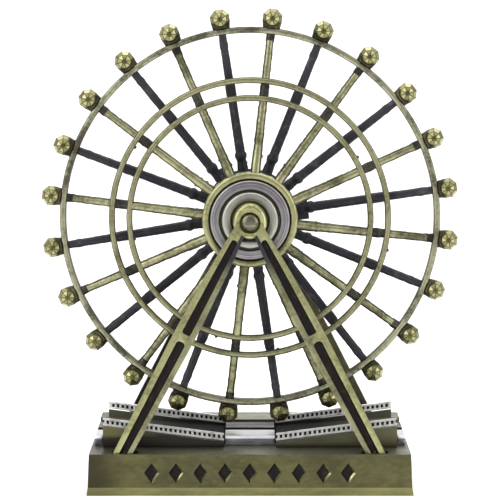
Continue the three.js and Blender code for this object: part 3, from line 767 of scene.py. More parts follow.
def make_ring(name, radius, node, flash_angles):
    """A ring over the front spokes, with a bead of casting flash at each of the angles."""
    back = -spoke_offset(radius) + 0.2
    front = back - RING_DEPTH
    low, high = radius - RING_HALF_WIDTH, radius + RING_HALF_WIDTH
    profile = [
        (low, back), (high, back), (high, front + 0.5), (high - 0.22, front + 0.14),
        (high - 0.45, front), (low + 0.45, front), (low + 0.22, front + 0.14), (low, front + 0.5),
    ]
    ring = turned(name, profile, 216)
    # The faces that look towards or away from the axle get painted shade
    paint(ring, ring_bronze, side_shade_bronze, on_edge)
    beads = []
    for i, angle in enumerate(flash_angles):
        side = high - 0.15 if i % 2 else low + 0.15
        bead = flash_bead((0, (front + back) / 2, side), 0.5)
        beads.append(placed(bead, turn_y=math.radians(angle)))
    whole = join(name, [ring, *beads])
    cast_unevenness(whole, 0.14, 2.5)
    finish_at_axle(whole, "wheel", node)


def flash_bead(place, size):
    """A crumb of metal that ran out of the mould."""
    bead = add_primitive(
        "bead",
        bpy.ops.mesh.primitive_ico_sphere_add,
        subdivisions=2,
        radius=size * MM,
        location=mm(*place),
        scale=(1, 0.8, 1.3),
    )
    paint(bead, spoke_black)
    return bead


def swell_at(radius, swells):
    """How much wider than its taper a spoke is at a radius, from its (radius, reach, extra)."""
    return 1 + sum(
        extra * min(1.0, max(0.0, 2 - 2 * abs(radius - middle) / reach))
        for middle, reach, extra in swells
    )


def make_spoke(name, swells, ragged, chance):
    """A spoke of the front set pointing up, from a ring of vertices pushed out step by step."""
    start = Vector((0, -spoke_offset(SPOKE_ROOT), SPOKE_ROOT))
    end = Vector((0, -spoke_offset(SPOKE_END), SPOKE_END))
    step = (end - start) / SPOKE_STEPS
    spoke = add_primitive(
        name,
        bpy.ops.mesh.primitive_circle_add,
        vertices=10,
        radius=MM,
        fill_type="NGON",
        location=start * MM,
        rotation=step.to_track_quat("Z", "Y").to_euler(),
    )
    open_edit(spoke)
    half = spoke_half_width(SPOKE_ROOT) * swell_at(SPOKE_ROOT, swells)
    bpy.ops.transform.resize(value=(half, half * 0.9, half))
    shift = 0.0
    for i in range(1, SPOKE_STEPS + 1):
        radius = start.z + step.z * i
        new_half = spoke_half_width(radius) * swell_at(radius, swells)
        new_half *= chance.uniform(1 - ragged, 1 + ragged)
        new_shift = chance.uniform(-ragged, ragged) * 0.7
        push = (step + Vector((new_shift - shift, 0, 0))) * MM
        bpy.ops.mesh.extrude_region_move(TRANSFORM_OT_translate={"value": push})
        factor = new_half / half
        bpy.ops.transform.resize(value=(factor, factor, factor))
        half, shift = new_half, new_shift
    close_edit()
    return spoke


def make_spider(name, node, first_angle, turn_z, colors, swells, ragged, beads, slot, seed):
    """A flange with its spokes. The stretch of a spoke between the two rings and its end at the
    rim have the second of the colours, its sides the third and the flange the fourth."""
    color, gap_color, side_color, flange_color = colors
    flange = turned(
        name + "_flange",
        [
            (FLANGE_INNER, -FLANGE_BACK), (FLANGE_RADIUS - 0.5, -FLANGE_BACK),
            (FLANGE_RADIUS - 0.15, -FLANGE_BACK - 0.15), (FLANGE_RADIUS, -FLANGE_BACK - 0.5),
            (FLANGE_RADIUS, -FLANGE_FRONT + 0.7), (FLANGE_RADIUS - 0.2, -FLANGE_FRONT + 0.2),
            (FLANGE_RADIUS - 0.7, -FLANGE_FRONT), (FLANGE_RECESS_RADIUS + 0.35, -FLANGE_FRONT),
            (FLANGE_RECESS_RADIUS + 0.08, -FLANGE_FRONT + 0.25),
            (FLANGE_RECESS_RADIUS, -FLANGE_FRONT + FLANGE_RECESS),
            (FLANGE_INNER, -FLANGE_FRONT + FLANGE_RECESS),
        ],
        120,
    )
    lip = FLANGE_RECESS_RADIUS + 0.3
    # Inside the lip the recess gets painted shade
    paint(flange, flange_color, side_shade_bronze, lambda at, normal: math.hypot(at.x, at.z) < lip)
    chance = random.Random(seed)
    inner, outer = RING_RADII[1] - 0.4, RING_RADII[0] + 0.4
    parts = []
    for i in range(SPOKE_PAIRS):
        spoke = make_spoke(f"{name}_spoke_{i}", swells, ragged, chance)
        # The spokes' sides take the third colour, which is painted shade on the front spokes
        paint(spoke, color, side_color, lambda at, normal: abs(normal.y) < 0.7)
        add_paint(spoke, gap_color, lambda at, normal: inner < at.z < outer or at.z > STUB_START)
        crumbs = []
        for _ in range(beads[i % len(beads)]):
            radius = chance.uniform(*CRUMB_RADII)
            side = (spoke_half_width(radius) + 0.02) * chance.choice((-1, 1))
            place = (side, -spoke_offset(radius), radius)
            crumbs.append(flash_bead(place, chance.uniform(*CRUMB_SIZES)))
        whole = join(f"{name}_spoke_{i}", [spoke, *crumbs])
        angle = first_angle + 360 / SPOKE_PAIRS * i
        parts.append(placed(whole, turn_y=math.radians(angle)))
    spokes = join(name + "_spokes", parts)
    cast_unevenness(spokes, 2.5 * ragged, 1.2)
    whole = join(name, [flange, *gate_stubs(slot, color), spokes])
    finish_at_axle(whole, "wheel", node, turn_z, 50)


def gate_stubs(slot, color):
    """Stubs of the mould's gates, left on the edge of the black flange between its spokes."""
    if slot != "blackened_bronze":
        return []
    stubs = []
    for angle, half, outer in GATE_STUBS:
        low = (-half, -FLANGE_FRONT + 0.5, FLANGE_RADIUS - 1.0)
        stub = block("gate_stub", low, (half, -FLANGE_BACK - 0.3, outer))
        ease_edges(stub, 0.35, 3)
        paint(stub, color)
        # The black spider is turned half round, which mirrors its angles
        stubs.append(placed(stub, turn_y=math.radians(-angle)))
    return stubs


def make_hub():
    """The tube round the pin, and a turned disc with a raised middle on each side of it."""
    barrel = turned(
        "hub_tube",
        [
            (BORE_RADIUS, -BARREL_REACH), (BARREL_RADIUS - 0.3, -BARREL_REACH),
            (BARREL_RADIUS, -BARREL_REACH + 0.3), (BARREL_RADIUS, BARREL_REACH - 0.3),
            (BARREL_RADIUS - 0.3, BARREL_REACH), (BORE_RADIUS, BARREL_REACH),
        ],
        72,
    )
    paint(barrel, base_bronze)
    finish_at_axle(barrel, "wheel", "hub_barrel")
    for name, node, turn_z in (
        ("front_hub_cap", "front_hub_disc", 0.0),
        ("rear_hub_cap", "rear_hub_disc", math.pi),
    ):
        disc = turned(
            name,
            [
                (BORE_RADIUS, -DISC_BACK), (DISC_RADIUS, -DISC_BACK),
                (DISC_RADIUS, -DISC_LAND + 0.5), (DISC_RADIUS - 0.1, -DISC_LAND + 0.26),
                (DISC_RADIUS - 0.35, -DISC_LAND + 0.08), (DISC_RADIUS - 0.8, -DISC_LAND),
                (DISC_GROOVE_RADIUS + 0.15, -DISC_LAND), (DISC_GROOVE_RADIUS, -DISC_LAND + 0.12),
                (DISC_GROOVE_RADIUS - 0.1, -DISC_GROOVE_FLOOR),
                (DISC_RING_RADIUS + 0.1, -DISC_GROOVE_FLOOR),
                (DISC_RING_RADIUS, -DISC_FRONT + 0.6),
                (DISC_RING_RADIUS - 0.12, -DISC_FRONT + 0.3),
                (DISC_RING_RADIUS - 0.35, -DISC_FRONT + 0.1),
                (DISC_RING_RADIUS - 0.7, -DISC_FRONT), (DISC_WELL_RADIUS + 0.35, -DISC_FRONT),
                (DISC_WELL_RADIUS + 0.1, -DISC_FRONT + 0.12),
                (DISC_WELL_RADIUS, -DISC_FRONT + 0.4), (DISC_WELL_RADIUS, -DISC_WELL_FLOOR),
                (BORE_RADIUS, -DISC_WELL_FLOOR),
            ],
            144,
        )
        # The groove and the well of each disc get painted shade
        paint(disc, lathe_silver, side_shade_bronze, in_disc_recess)
        add_paint(disc, pale_silver, in_disc_middle)
        finish_at_axle(disc, "wheel", node, turn_z)


def in_disc_recess(at, normal):
    """The groove and the well of a hub disc, before it is raised to the axle."""
    radius = math.hypot(at.x, at.z)
    groove = DISC_RING_RADIUS - 0.05 < radius < DISC_GROOVE_RADIUS and at.y > -DISC_LAND
    return groove or radius < DISC_WELL_RADIUS + 0.05


def in_disc_middle(at, normal):
    return DISC_WELL_RADIUS + 0.1 < math.hypot(at.x, at.z) < DISC_RING_RADIUS and at.y < -DISC_LAND


def ball_row(across, forward):
    """Eight corners of the ball in a plane that faces the front."""
    return add_primitive(
        "row",
        bpy.ops.mesh.primitive_circle_add,
        vertices=8,
        radius=across * CAPSULE_RADIUS * MM,
        location=mm(0, forward * CAPSULE_RADIUS, 0),
        rotation=(math.pi / 2, math.radians(FACET_ANGLE / 2), 0),
    )


def on_shaded_facet(at, normal):
    """Every other facet of the ball's rows, taken in turn from row to row, and its belt, which get
    painted shade.
    """
    angle = math.degrees(math.atan2(normal.z, normal.x)) + 360
    column = int((angle + FACET_ANGLE / 2) // FACET_ANGLE)
    row = int(abs(normal.y) > 0.7)
    return (column + row) % 2 == 0 or abs(normal.y) < 0.25


def make_capsule():
    """A faceted ball held by two claws. Up is away from the axle."""
    rows = []
    for across, forward in BALL_ROWS:
        for y in (forward, -forward):
            rows.append(ball_row(across, y))
    ball = join("capsule_ball", rows)
    open_edit(ball, "VERT")
    bpy.ops.mesh.convex_hull()
    close_edit()
    ease_edges(ball, 0.13, 2, 12)
    # Painted light and shade on the ball: lit facets, shaded facets and shaded middle facets
    paint(ball, capsule_lit_bronze, capsule_shade, on_shaded_facet)
    add_paint(ball, capsule_middle_shade, lambda at, normal: abs(normal.y) > FLAT)
    # The eased edges between the facets get painted shade
    ball.data.materials.append(capsule_edge_shade)
    edge_index = len(ball.data.materials) - 1
    for face in ball.data.polygons:
        if face.area < EDGE_FACE_AREA * MM**2:
            face.material_index = edge_index
    bottom = RIM_OUTER - 0.05 - CAPSULE_CENTRE
    claws = add_primitive(
        "capsule_claws",
        bpy.ops.mesh.primitive_cone_add,
        vertices=24,
        radius1=CLAW_BOTTOM_RADIUS * MM,
        radius2=CLAW_TOP_RADIUS * MM,
        depth=(CLAW_TOP - bottom) * MM,
        location=mm(0, 0, (bottom + CLAW_TOP) / 2),
    )
    for side in (-1, 1):
        bisect(claws, (0, side * CLAW_HALF_WIDTH, 0), (0, side, 0.5), cut_off=True)
    ease_edges(claws, 0.2, 3)
    paint(claws, claw_bronze)
    return join("capsule", [ball, claws])


def make_capsules():
    capsule = make_capsule()
    for i in range(2 * SPOKE_PAIRS):
        angle = math.radians(FIRST_SPOKE + 180 / SPOKE_PAIRS * i)
        twin = copy_of(capsule, f"capsule_gem_{i + 1:02d}")
        x, z = CAPSULE_CENTRE * math.sin(angle), CAPSULE_CENTRE * math.cos(angle)
        placed(twin, (x, 0, AXLE_HEIGHT + z), turn_y=angle)
        finish(twin, "wheel", [f"capsule_{i + 1:02d}"], 10)
    bpy.data.objects.remove(capsule)


# Stand


def leg_half_width(length):
    """Half the width of a leg at a length from the apex, rounded where its tapers meet."""

    def straight(at):
        last = LEG_WIDTHS[-1][0]
        for (start, wide), (end, wide_end) in zip(LEG_WIDTHS, LEG_WIDTHS[1:]):
            if at <= end or end == last:
                return wide + (wide_end - wide) * (at - start) / (end - start)

    return (straight(length - 4) + straight(length) + straight(length + 4)) / 6


def spindle(first, last, share, steps, shift=0.0):
    """The outline of a leg, or of a share of its width, between two lengths from the apex."""
    lengths = [first + (last - first) * i / steps for i in range(steps + 1)]
    halves = [(share * leg_half_width(length), -length) for length in lengths]
    return [(x + shift, z) for x, z in halves] + [(shift - x, z) for x, z in reversed(halves)]


def channel_tool(first, last, side):
    """A bar with round ends that sinks a channel in a leg's front face."""
    face = -LEG_THICKNESS / 2
    outline = spindle(first, last, CHANNEL_SHARE, 8, -side * CHANNEL_SHIFT)
    tool = slab_y("channel_tool", outline, face - 1, face + CHANNEL_DEPTH)
    return apply_modifier(
        tool,
        "BEVEL",
        width=CHANNEL_SHARE * leg_half_width(first) * 0.8 * MM,
        segments=5,
        limit_method="ANGLE",
        angle_limit=math.radians(80),
        affect="EDGES",
    )


def make_leg(name, side):
    """A leg with two sunk channels, turned into its place about the apex."""
    face = LEG_THICKNESS / 2
    leg = slab_y(name, spindle(LEG_WIDTHS[0][0], LEG_LENGTH + 5, 1, 16), -face, face)
    cut(
        leg,
        channel_tool(CHANNEL_START, BRIDGE_DISTANCE - BRIDGE_LENGTH / 2, side),
        channel_tool(BRIDGE_DISTANCE + BRIDGE_LENGTH / 2, LEG_LENGTH + 8, side),
    )
    # Edges in the flat faces, where the painted shade of the inner bar begins
    inner_line = (-side * INNER_LINE, 0, 0), (1, 0, 0)
    for place, normal in (((0, 0, 0), (1, 0, 0)), inner_line, ((0, 0, -BOSS_REACH), (0, 0, 1))):
        bisect(leg, place, normal)
    ease_edges(leg, 0.6, 4, 40)

    def in_channel(at, normal):
        half = leg_half_width(-at.z) * CHANNEL_SHARE
        across = abs(at.x + side * CHANNEL_SHIFT)
        return across < half + 0.05 and -face + 0.25 < at.y < -face + CHANNEL_DEPTH + 0.1

    def on_inner_bar(at, normal):
        edge = leg_half_width(-at.z) * CHANNEL_SHARE + CHANNEL_SHIFT - 0.1
        return -side * at.x > edge and at.z < -BOSS_REACH and not in_channel(at, normal)

    def on_side(at, normal):
        return abs(normal.x) > 0.6 and not in_channel(at, normal)

    paint(leg, leg_bronze, recess_black, in_channel)
    # The inner bar gets painted shade, and a painted shadow under the boss
    add_paint(leg, inner_bar_shade_bronze, on_inner_bar)
    # The legs' side faces get painted shade
    add_paint(leg, side_shade_bronze, on_side)
    leg.matrix_world = (
        Matrix.Translation(mm(LEG_OFFSETS[side], 0, APEX_RISE))
        @ Matrix.Rotation(-LEAN, 4, "X")
        @ Matrix.Rotation(-side * SPLAY, 4, "Y")
    )
    return settle(leg)


def spread_boss(boss):
    """Makes a turned boss a little larger than round, and its upper half taller."""
    open_edit(boss, "VERT")
    bpy.ops.mesh.bisect(plane_co=(0, 0, 0), plane_no=(0, 0, 1))
    mesh = bmesh.from_edit_mesh(boss.data)
    bpy.ops.mesh.select_all(action="SELECT")
    bpy.ops.transform.resize(value=(BOSS_SPREAD, 1, BOSS_SPREAD), center_override=(0, 0, 0))
    for vertex in mesh.verts:
        vertex.select_set(vertex.co.z > 0)
    mesh.select_flush_mode()
    bpy.ops.transform.resize(value=(1, 1, BOSS_RISE), center_override=(0, 0, 0))
    close_edit()


def make_a_frame(name, node, stand_level, turn_z):
    """An A-shaped frame, made about the axle in its own middle plane and then set in its place."""
    frame_piece = make_leg(name, -1)
    other = make_leg(name + "_right", 1)
    soles = stand_level - FOOT_SINK - AXLE_HEIGHT
    for leg in (frame_piece, other):
        bisect(leg, (0, 0, soles), (0, 0, -1), cut_off=True)
    front = -(BOSS_FRONT - BOSS_MIDDLE)
    boss = turned(
        name + "_boss",
        [
            (0, front + 0.1), (COUNTERBORE_RADIUS + 0.25, front + 0.1),
            (COUNTERBORE_RADIUS + 0.6, front), (BOSS_RADIUS - 0.7, front + 0.02),
            (BOSS_RADIUS - 0.35, front + 0.18), (BOSS_RADIUS - 0.1, front + 0.5),
            (BOSS_RADIUS, front + 1.0), (BOSS_RADIUS, -front - 0.3), (BOSS_RADIUS - 0.3, -front),
            (0, -front),
        ],
        72,
    )
    spread_boss(boss)
    paint(boss, leg_bronze)
    # A web under the boss, painted black as the shade there
    web = block_about_z(name + "_web", WEB_HALF_WIDTH, WEB_THICKNESS / 2, -WEB_DROP, 0)
    paint(web, recess_black)
    foot_place = foot_x(stand_level), BOSS_MIDDLE - foot_y(stand_level)
    bottom = CAVITY_TOP + SEAT_GAP - AXLE_HEIGHT
    tenons = []
    for side in (-1, 1):
        x, y = side * foot_place[0], foot_place[1]
        tenons.append(rod_z("tenon", TENON_RADIUS, x, y, bottom, soles + FOOT_SINK))
        paint(tenons[-1], base_bronze)
    weld(frame_piece, other, boss, web, *tenons)
    bore = turned(
        name + "_bore",
        [
            (0, front - 1), (COUNTERBORE_RADIUS + 0.12, front - 1),
            (COUNTERBORE_RADIUS + 0.12, front + 0.12), (COUNTERBORE_RADIUS, front + 0.4),
            (COUNTERBORE_RADIUS, front + COUNTERBORE_DEPTH),
            (PIN_RADIUS + SEAT_GAP, front + COUNTERBORE_DEPTH),
            (PIN_RADIUS + SEAT_GAP, -front + 1), (0, -front + 1),
        ],
        72,
    )
    paint(bore, leg_bronze)
    cut(frame_piece, bore)
    if turn_z:
        # Painted shade where the rear frame looks at the wheel
        add_paint(frame_piece, rear_frame_shade_bronze, lambda at, normal: normal.y > -0.35)
    middle = BOSS_MIDDLE if turn_z else -BOSS_MIDDLE
    placed(frame_piece, (0, middle, AXLE_HEIGHT), turn_z=turn_z)
    finish(frame_piece, "stand", [node])


def foot_x(level):
    """How far from the middle of the base a leg comes down at a level."""
    return FOOT_SPREAD * (AXLE_HEIGHT + APEX_RISE - level) / LEG_DROP


def foot_y(level):
    return BOSS_MIDDLE + (FOOT_OFFSET - BOSS_MIDDLE) * (AXLE_HEIGHT + APEX_RISE - level) / LEG_DROP


def lozenge_tools():
    """Pointed punches that sink a generic row of lozenges in the base's front."""
    tools = []
    pitch = (LOZENGE_SPAN - LOZENGE_WIDTH) / (LOZENGE_COUNT - 1)
    half, rise, row = LOZENGE_WIDTH / 2, LOZENGE_HEIGHT / 2, LOZENGE_ROW
    front = -BASE_HALF_DEPTH
    for i in range(LOZENGE_COUNT):
        x = (i - (LOZENGE_COUNT - 1) / 2) * pitch
        outline = [(x - half, row), (x, row - rise), (x + half, row), (x, row + rise)]
        tool = slab_y(f"lozenge_{i}", outline, front - BASE_SIDE_FLARE, front + LOZENGE_DEPTH)
        open_edit(tool)
        pick_faces(tool, lambda at, normal: normal.y > 0.9)
        narrowed = (LOZENGE_FLOOR, 1, LOZENGE_FLOOR)
        bpy.ops.transform.resize(value=narrowed, center_override=mm(x, 0, row))
        close_edit()
        tools.append(tool)
    return tools


def base_blank():
    """The base's outside: drafted sides above a band that flares a little at the foot."""
    low_half = (BASE_HALF_WIDTH + BASE_END_FLARE, BASE_HALF_DEPTH + BASE_SIDE_FLARE)
    base = block_about_z("base_casting", *low_half, 0, BAND_HEIGHT)
    open_edit(base)
    levels = (
        # Height, share of the flare that is left there
        (BAND_HEIGHT, 0.5),
        (PLINTH_TOP, 0.0),
    )
    old = low_half
    for i, (height, share) in enumerate(levels):
        half = (BASE_HALF_WIDTH + BASE_END_FLARE * share, BASE_HALF_DEPTH + BASE_SIDE_FLARE * share)
        pick_faces(base, lambda at, normal: normal.z > 0.9)
        if i:
            rise = height - levels[i - 1][0]
            bpy.ops.mesh.extrude_region_move(TRANSFORM_OT_translate={"value": mm(0, 0, rise)})
        bpy.ops.transform.resize(
            value=(half[0] / old[0], half[1] / old[1], 1), center_override=(0, 0, height * MM)
        )
        old = half
    close_edit()
    return base


def in_lozenge_field(at):
    half, low, high = LOZENGE_FIELD
    return abs(at.x) < half and low < at.z < high


def on_lit_lozenge_side(at, normal):
    """The sloping right and lower sides of the lozenges, which face the upper left and get a
    painted highlight.
    """
    sloping = -FLAT < normal.y < -0.3 and at.y < -BASE_HALF_DEPTH + LOZENGE_DEPTH
    return sloping and in_lozenge_field(at) and normal.x - 0.5 * normal.z < -0.1


def make_base():
    """The base with its raised rear land, hollow from below, with sockets for the legs' feet."""
    top = PLINTH_TOP
    base = base_blank()
    land = slab_x(
        "land",
        [
            (LAND_FRONT, top - 1), (BASE_HALF_DEPTH - LAND_INSET, top - 1),
            (BASE_HALF_DEPTH - LAND_INSET, LAND_TOP), (LAND_FRONT, LAND_TOP),
        ],
        -BASE_HALF_WIDTH + LAND_INSET,
        BASE_HALF_WIDTH - LAND_INSET,
    )
    tongue = block(
        "tongue",
        (-PLATFORM_HALF_WIDTH, PLATE_HALF_DEPTH + SEAT_GAP, top - 1),
        (PLATFORM_HALF_WIDTH, LAND_FRONT + 1, LAND_TOP),
    )
    weld(base, land, tongue)
    cavity_half = (BASE_HALF_WIDTH - WALL, BASE_HALF_DEPTH - WALL)
    cavity = block_about_z("cavity", *cavity_half, -1, CAVITY_TOP)
    sockets = []
    half_x = leg_half_width(LEG_LENGTH) / math.cos(SPLAY) + 0.8
    half_y = LEG_THICKNESS / 2 / math.cos(LEAN) + 0.45
    for end, level in ((-1, PLINTH_TOP), (1, LAND_TOP)):
        for side in (-1, 1):
            x, y = side * foot_x(level), end * foot_y(level)
            low = (x - half_x, y - half_y, level - FOOT_SINK - SEAT_GAP)
            sockets.append(block("socket", low, (x + half_x, y + half_y, level + 1)))
            hole = TENON_RADIUS + SEAT_GAP
            sockets.append(rod_z("tenon_hole", hole, x, y, CAVITY_TOP - 1, level))
            pocket = SCREW_HEAD_RADIUS + SEAT_GAP
            sockets.append(rod_z("screw_pocket", pocket, x, y, -1, CAVITY_TOP))
    cut(base, cavity, *sockets, *lozenge_tools())
    ease_edges(base, 0.16, 2, 40)

    def in_recess(at, normal):
        sunk_front = -BASE_HALF_DEPTH + 0.3 < at.y < -BASE_HALF_DEPTH + 1.5
        half, _, high = LOZENGE_FIELD
        lozenge = at.y < -18 and in_lozenge_field(at) and normal.y > -FLAT
        lozenge = lozenge or (abs(at.x) < half and sunk_front and at.z < high)
        within_walls = abs(at.x) < cavity_half[0] + 0.1 and abs(at.y) < cavity_half[1] + 0.1
        # The sockets round the feet get painted shade
        level = LAND_TOP if at.y > 0 else PLINTH_TOP
        near_foot = abs(abs(at.x) - foot_x(level)) < half_x
        near_foot = near_foot and abs(abs(at.y) - foot_y(level)) < half_y
        hollow = at.z < CAVITY_TOP + 0.1 and within_walls
        return lozenge or hollow or (near_foot and at.z < level - 0.12)

    def on_band(at, normal):
        return 0.02 < at.z < BAND_HEIGHT and abs(normal.z) < 0.8

    paint(base, base_bronze, recess_black, in_recess)
    # Painted reflection on the top faces
    add_paint(base, top_reflection_bronze, lambda at, normal: normal.z > 0.7 and at.z > PLINTH_TOP - 0.6)
    # Painted highlight on the foot band
    add_paint(base, band_highlight_bronze, on_band)
    # Painted highlight on the lozenges' lit sides
    add_paint(base, leg_bronze, on_lit_lozenge_side)
    finish(base, "stand", ["base_shell"])


def make_pad():
    """The glued felt sole in the base's hollow."""
    half_x, half_y = BASE_HALF_WIDTH - WALL - SEAT_GAP, BASE_HALF_DEPTH - WALL - SEAT_GAP
    pad = block_about_z("felt_sole", half_x, half_y, 0, PAD_THICKNESS)
    ease_edges(pad, 0.3, 3)
    paint(pad, black_felt)
    finish(pad, "stand", ["felt_pad"])


def make_plate():
    """The silver plate: a groove between two beds, the front one with a well rounded edge and the
    rear one with fine steps along it."""
    half, high, groove = PLATE_HALF_DEPTH, PLATFORM_HEIGHT, GROOVE_HALF_WIDTH
    rounding = PLATE_ROUNDING
    front = []
    for angle in range(0, 91, 15):
        back, up = math.cos(math.radians(angle)), math.sin(math.radians(angle))
        front.append((-half + rounding - rounding * back, high - rounding + rounding * up))
    steps = []
    for y in STEP_PLACES:
        floor = high - STEP_DEPTH
        steps += [(y + 0.45, high), (y + 0.35, floor), (y, floor), (y - 0.1, high)]
    outline = [
        *front,
        (-groove, high), (-groove, high - GROOVE_DEPTH), (groove, high - GROOVE_DEPTH),
        (groove, high),
        *reversed(steps),
        (half - 0.4, high), (half, high - 0.4), (half, 0), (-half, 0),
    ]
    end = BASE_HALF_WIDTH - LAND_INSET
    plate = slab_x("platform_casting", outline, -end, end)
    inner, outer = RAMP_INNER - SEAT_GAP, RAMP_OUTER + SEAT_GAP
    cut(
        plate,
        block("pocket_right", (inner, -half - 1, PLATE_WEB), (outer, half + 1, high + 1)),
        block("pocket_left", (-outer, -half - 1, PLATE_WEB), (-inner, half + 1, high + 1)),
    )
    ease_edges(plate, 0.14, 2, 40)
    placed(plate, (0, 0, PLINTH_TOP))
    top = PLINTH_TOP + high

    def in_groove(at, normal):
        return abs(at.y) < groove + 0.02 and at.z < top - 0.16

    # Painted reflection on the plate's top, painted shade on its front edge and lower faces
    paint(plate, plate_top_reflection_silver, grey_silver, lambda at, normal: at.z < top - rounding * 0.8)
    # Painted shade on the rear bed
    add_paint(plate, rear_bed_shade_silver, lambda at, normal: at.y > groove - 0.05)
    # Painted shade in the groove, in black
    add_paint(plate, recess_black, in_groove)
    finish(plate, "stand", ["platform_plate"])


def ramp_line(x, inner, outer):
    """A height between the one at a ramp's inner end and the one at its outer end."""
    return inner + (outer - inner) * (x - RAMP_INNER) / (RAMP_OUTER - RAMP_INNER)


def make_ramp(name, node, turn_z, material):
    """A tray between two walls that rise towards the end of the base, set over the plate."""
    body = slab_y(
        name,
        [
            (RAMP_INNER, 0), (RAMP_OUTER, 0), (RAMP_OUTER, RAMP_OUTER_HEIGHT),
            (RAMP_INNER, RAMP_INNER_HEIGHT),
        ],
        -RAMP_HALF_DEPTH,
        RAMP_HALF_DEPTH,
    )
    inner, outer = RAMP_INNER - 1, RAMP_OUTER + 1
    tray = slab_y(
        "tray",
        [
            (inner, ramp_line(inner, RAMP_INNER_FLOOR, RAMP_OUTER_FLOOR)),
            (outer, ramp_line(outer, RAMP_INNER_FLOOR, RAMP_OUTER_FLOOR)),
            (outer, RAMP_OUTER_HEIGHT + 1), (inner, RAMP_OUTER_HEIGHT + 1),
        ],
        -RAMP_HALF_DEPTH + RAMP_WALL,
        RAMP_HALF_DEPTH - RAMP_WALL,
    )
    side = PLATE_HALF_DEPTH + SEAT_GAP
    saddle = block("saddle", (inner, -side, -1), (outer, side, PLATE_WEB + SEAT_GAP))
    cut(body, tray, saddle)
    ease_edges(body, 0.15)
    placed(body, (0, 0, PLINTH_TOP), turn_z=turn_z)
    inside = RAMP_HALF_DEPTH - RAMP_WALL + 0.05
    # The walls take the finish with painted shade; the tray inside is black
    paint(body, material, tray_black, lambda at, normal: abs(at.y) < inside)
    finish(body, "stand", [node])


def make_railing(name, node, y, turn_z, plating):
    """Two silver bars with a row of posts between them, closed by a thin black wall."""
    half = RAIL_THICKNESS / 2

    def strip(label, bottom, top, half_depth, margin=0.0):
        ends = (RAMP_INNER + margin, RAMP_OUTER - margin)
        low, high = (ramp_line(x, RAMP_INNER_HEIGHT, RAMP_OUTER_HEIGHT) for x in ends)
        outline = [
            (ends[0], low + bottom), (ends[1], high + bottom), (ends[1], high + top),
            (ends[0], low + top),
        ]
        return slab_y(label, outline, -half_depth, half_depth)

    parts = []
    for bottom, top in ((0, RAIL_BAR), (RAIL_HEIGHT - RAIL_BAR, RAIL_HEIGHT)):
        bar = ease_edges(strip("bar", bottom, top, half), 0.12, 3)
        paint(bar, plating)
        parts.append(bar)
    web = strip("web", RAIL_BAR / 2, RAIL_HEIGHT - RAIL_BAR / 2, RAIL_WEB / 2, 0.2)
    paint(web, recess_black)
    parts.append(web)
    gaps = int((RAMP_OUTER - RAMP_INNER - 0.5) / RAIL_PITCH)
    first = (RAMP_INNER + RAMP_OUTER - gaps * RAIL_PITCH) / 2
    post = block_about_z("post", POST_WIDTH / 2, half - 0.06, 0.2, RAIL_HEIGHT - 0.2)
    open_edit(post)
    pick_faces(post, lambda at, normal: normal.z > 0.9)
    bpy.ops.transform.resize(value=(0.7, 1, 1))
    close_edit()
    ease_edges(post, 0.1)
    paint(post, plating)
    for i in range(gaps + 1):
        x = min(max(first + i * RAIL_PITCH, RAMP_INNER + 0.3), RAMP_OUTER - 0.3)
        twin = copy_of(post, f"post_{i}")
        parts.append(placed(twin, (x, 0, ramp_line(x, RAMP_INNER_HEIGHT, RAMP_OUTER_HEIGHT))))
    bpy.data.objects.remove(post)
    railing = join(name, parts)
    railing.matrix_world = Matrix.Translation(mm(0, y, PLINTH_TOP + SEAT_GAP)) @ Matrix.Rotation(
        turn_z, 4, "Z"
    )
    settle(railing)
    finish(railing, "stand", [node])


def make_axle():
    """The pin with its domed head, the nut that is its twin at the back, and the two spacers."""
    head = BOSS_FRONT - COUNTERBORE_DEPTH + SEAT_GAP
    dome = [(radius, head + rise * PIN_HEAD_HEIGHT) for radius, rise in DOME]
    pin = turned(
        "axle",
        [
            *((radius, -y) for radius, y in dome),
            (PIN_RADIUS, -head), (PIN_RADIUS, head - SEAT_GAP), (0, head - SEAT_GAP),
        ],
        48,
    )
    nut = turned("axle_cap", [*dome, (0, head)], 48)
    for piece, node in ((pin, "axle_pin"), (nut, "axle_nut")):
        paint(piece, pin_steel)
        finish_at_axle(piece, "stand", node)
    for name, node, turn_z in (
        ("front_bush", "front_spacer", 0.0),
        ("rear_bush", "rear_spacer", math.pi),
    ):
        outer, front, back = SPACER_RADIUS, BOSS_BACK - SEAT_GAP, DISC_WELL_FLOOR + SEAT_GAP
        bush = turned(
            name,
            [
                (PIN_RADIUS + SEAT_GAP, -front), (outer - 0.15, -front), (outer, -front + 0.15),
                (outer, -back - 0.15), (outer - 0.15, -back), (PIN_RADIUS + SEAT_GAP, -back),
            ],
            72,
        )
        paint(bush, base_bronze)
        finish_at_axle(bush, "stand", node, turn_z)


def make_leg_screw(name, node, x, y, level):
    """A slotted screw that holds a leg from below."""
    top = CAVITY_TOP - SEAT_GAP
    head = rod_z(name, SCREW_HEAD_RADIUS, 0, 0, top - 1.2, top)
    ease_edges(head, 0.15)
    shank_top = level - FOOT_SINK + 0.9
    weld(head, rod_z("shank", SCREW_SHANK_RADIUS, 0, 0, top - 0.6, shank_top, 20))
    cut(head, block("slot", (-2.6, -0.3, top - 2.2), (2.6, 0.3, top - 0.7)))
    placed(head, (x, y, 0))
    paint(head, grey_silver)
    finish(head, "stand", [node])


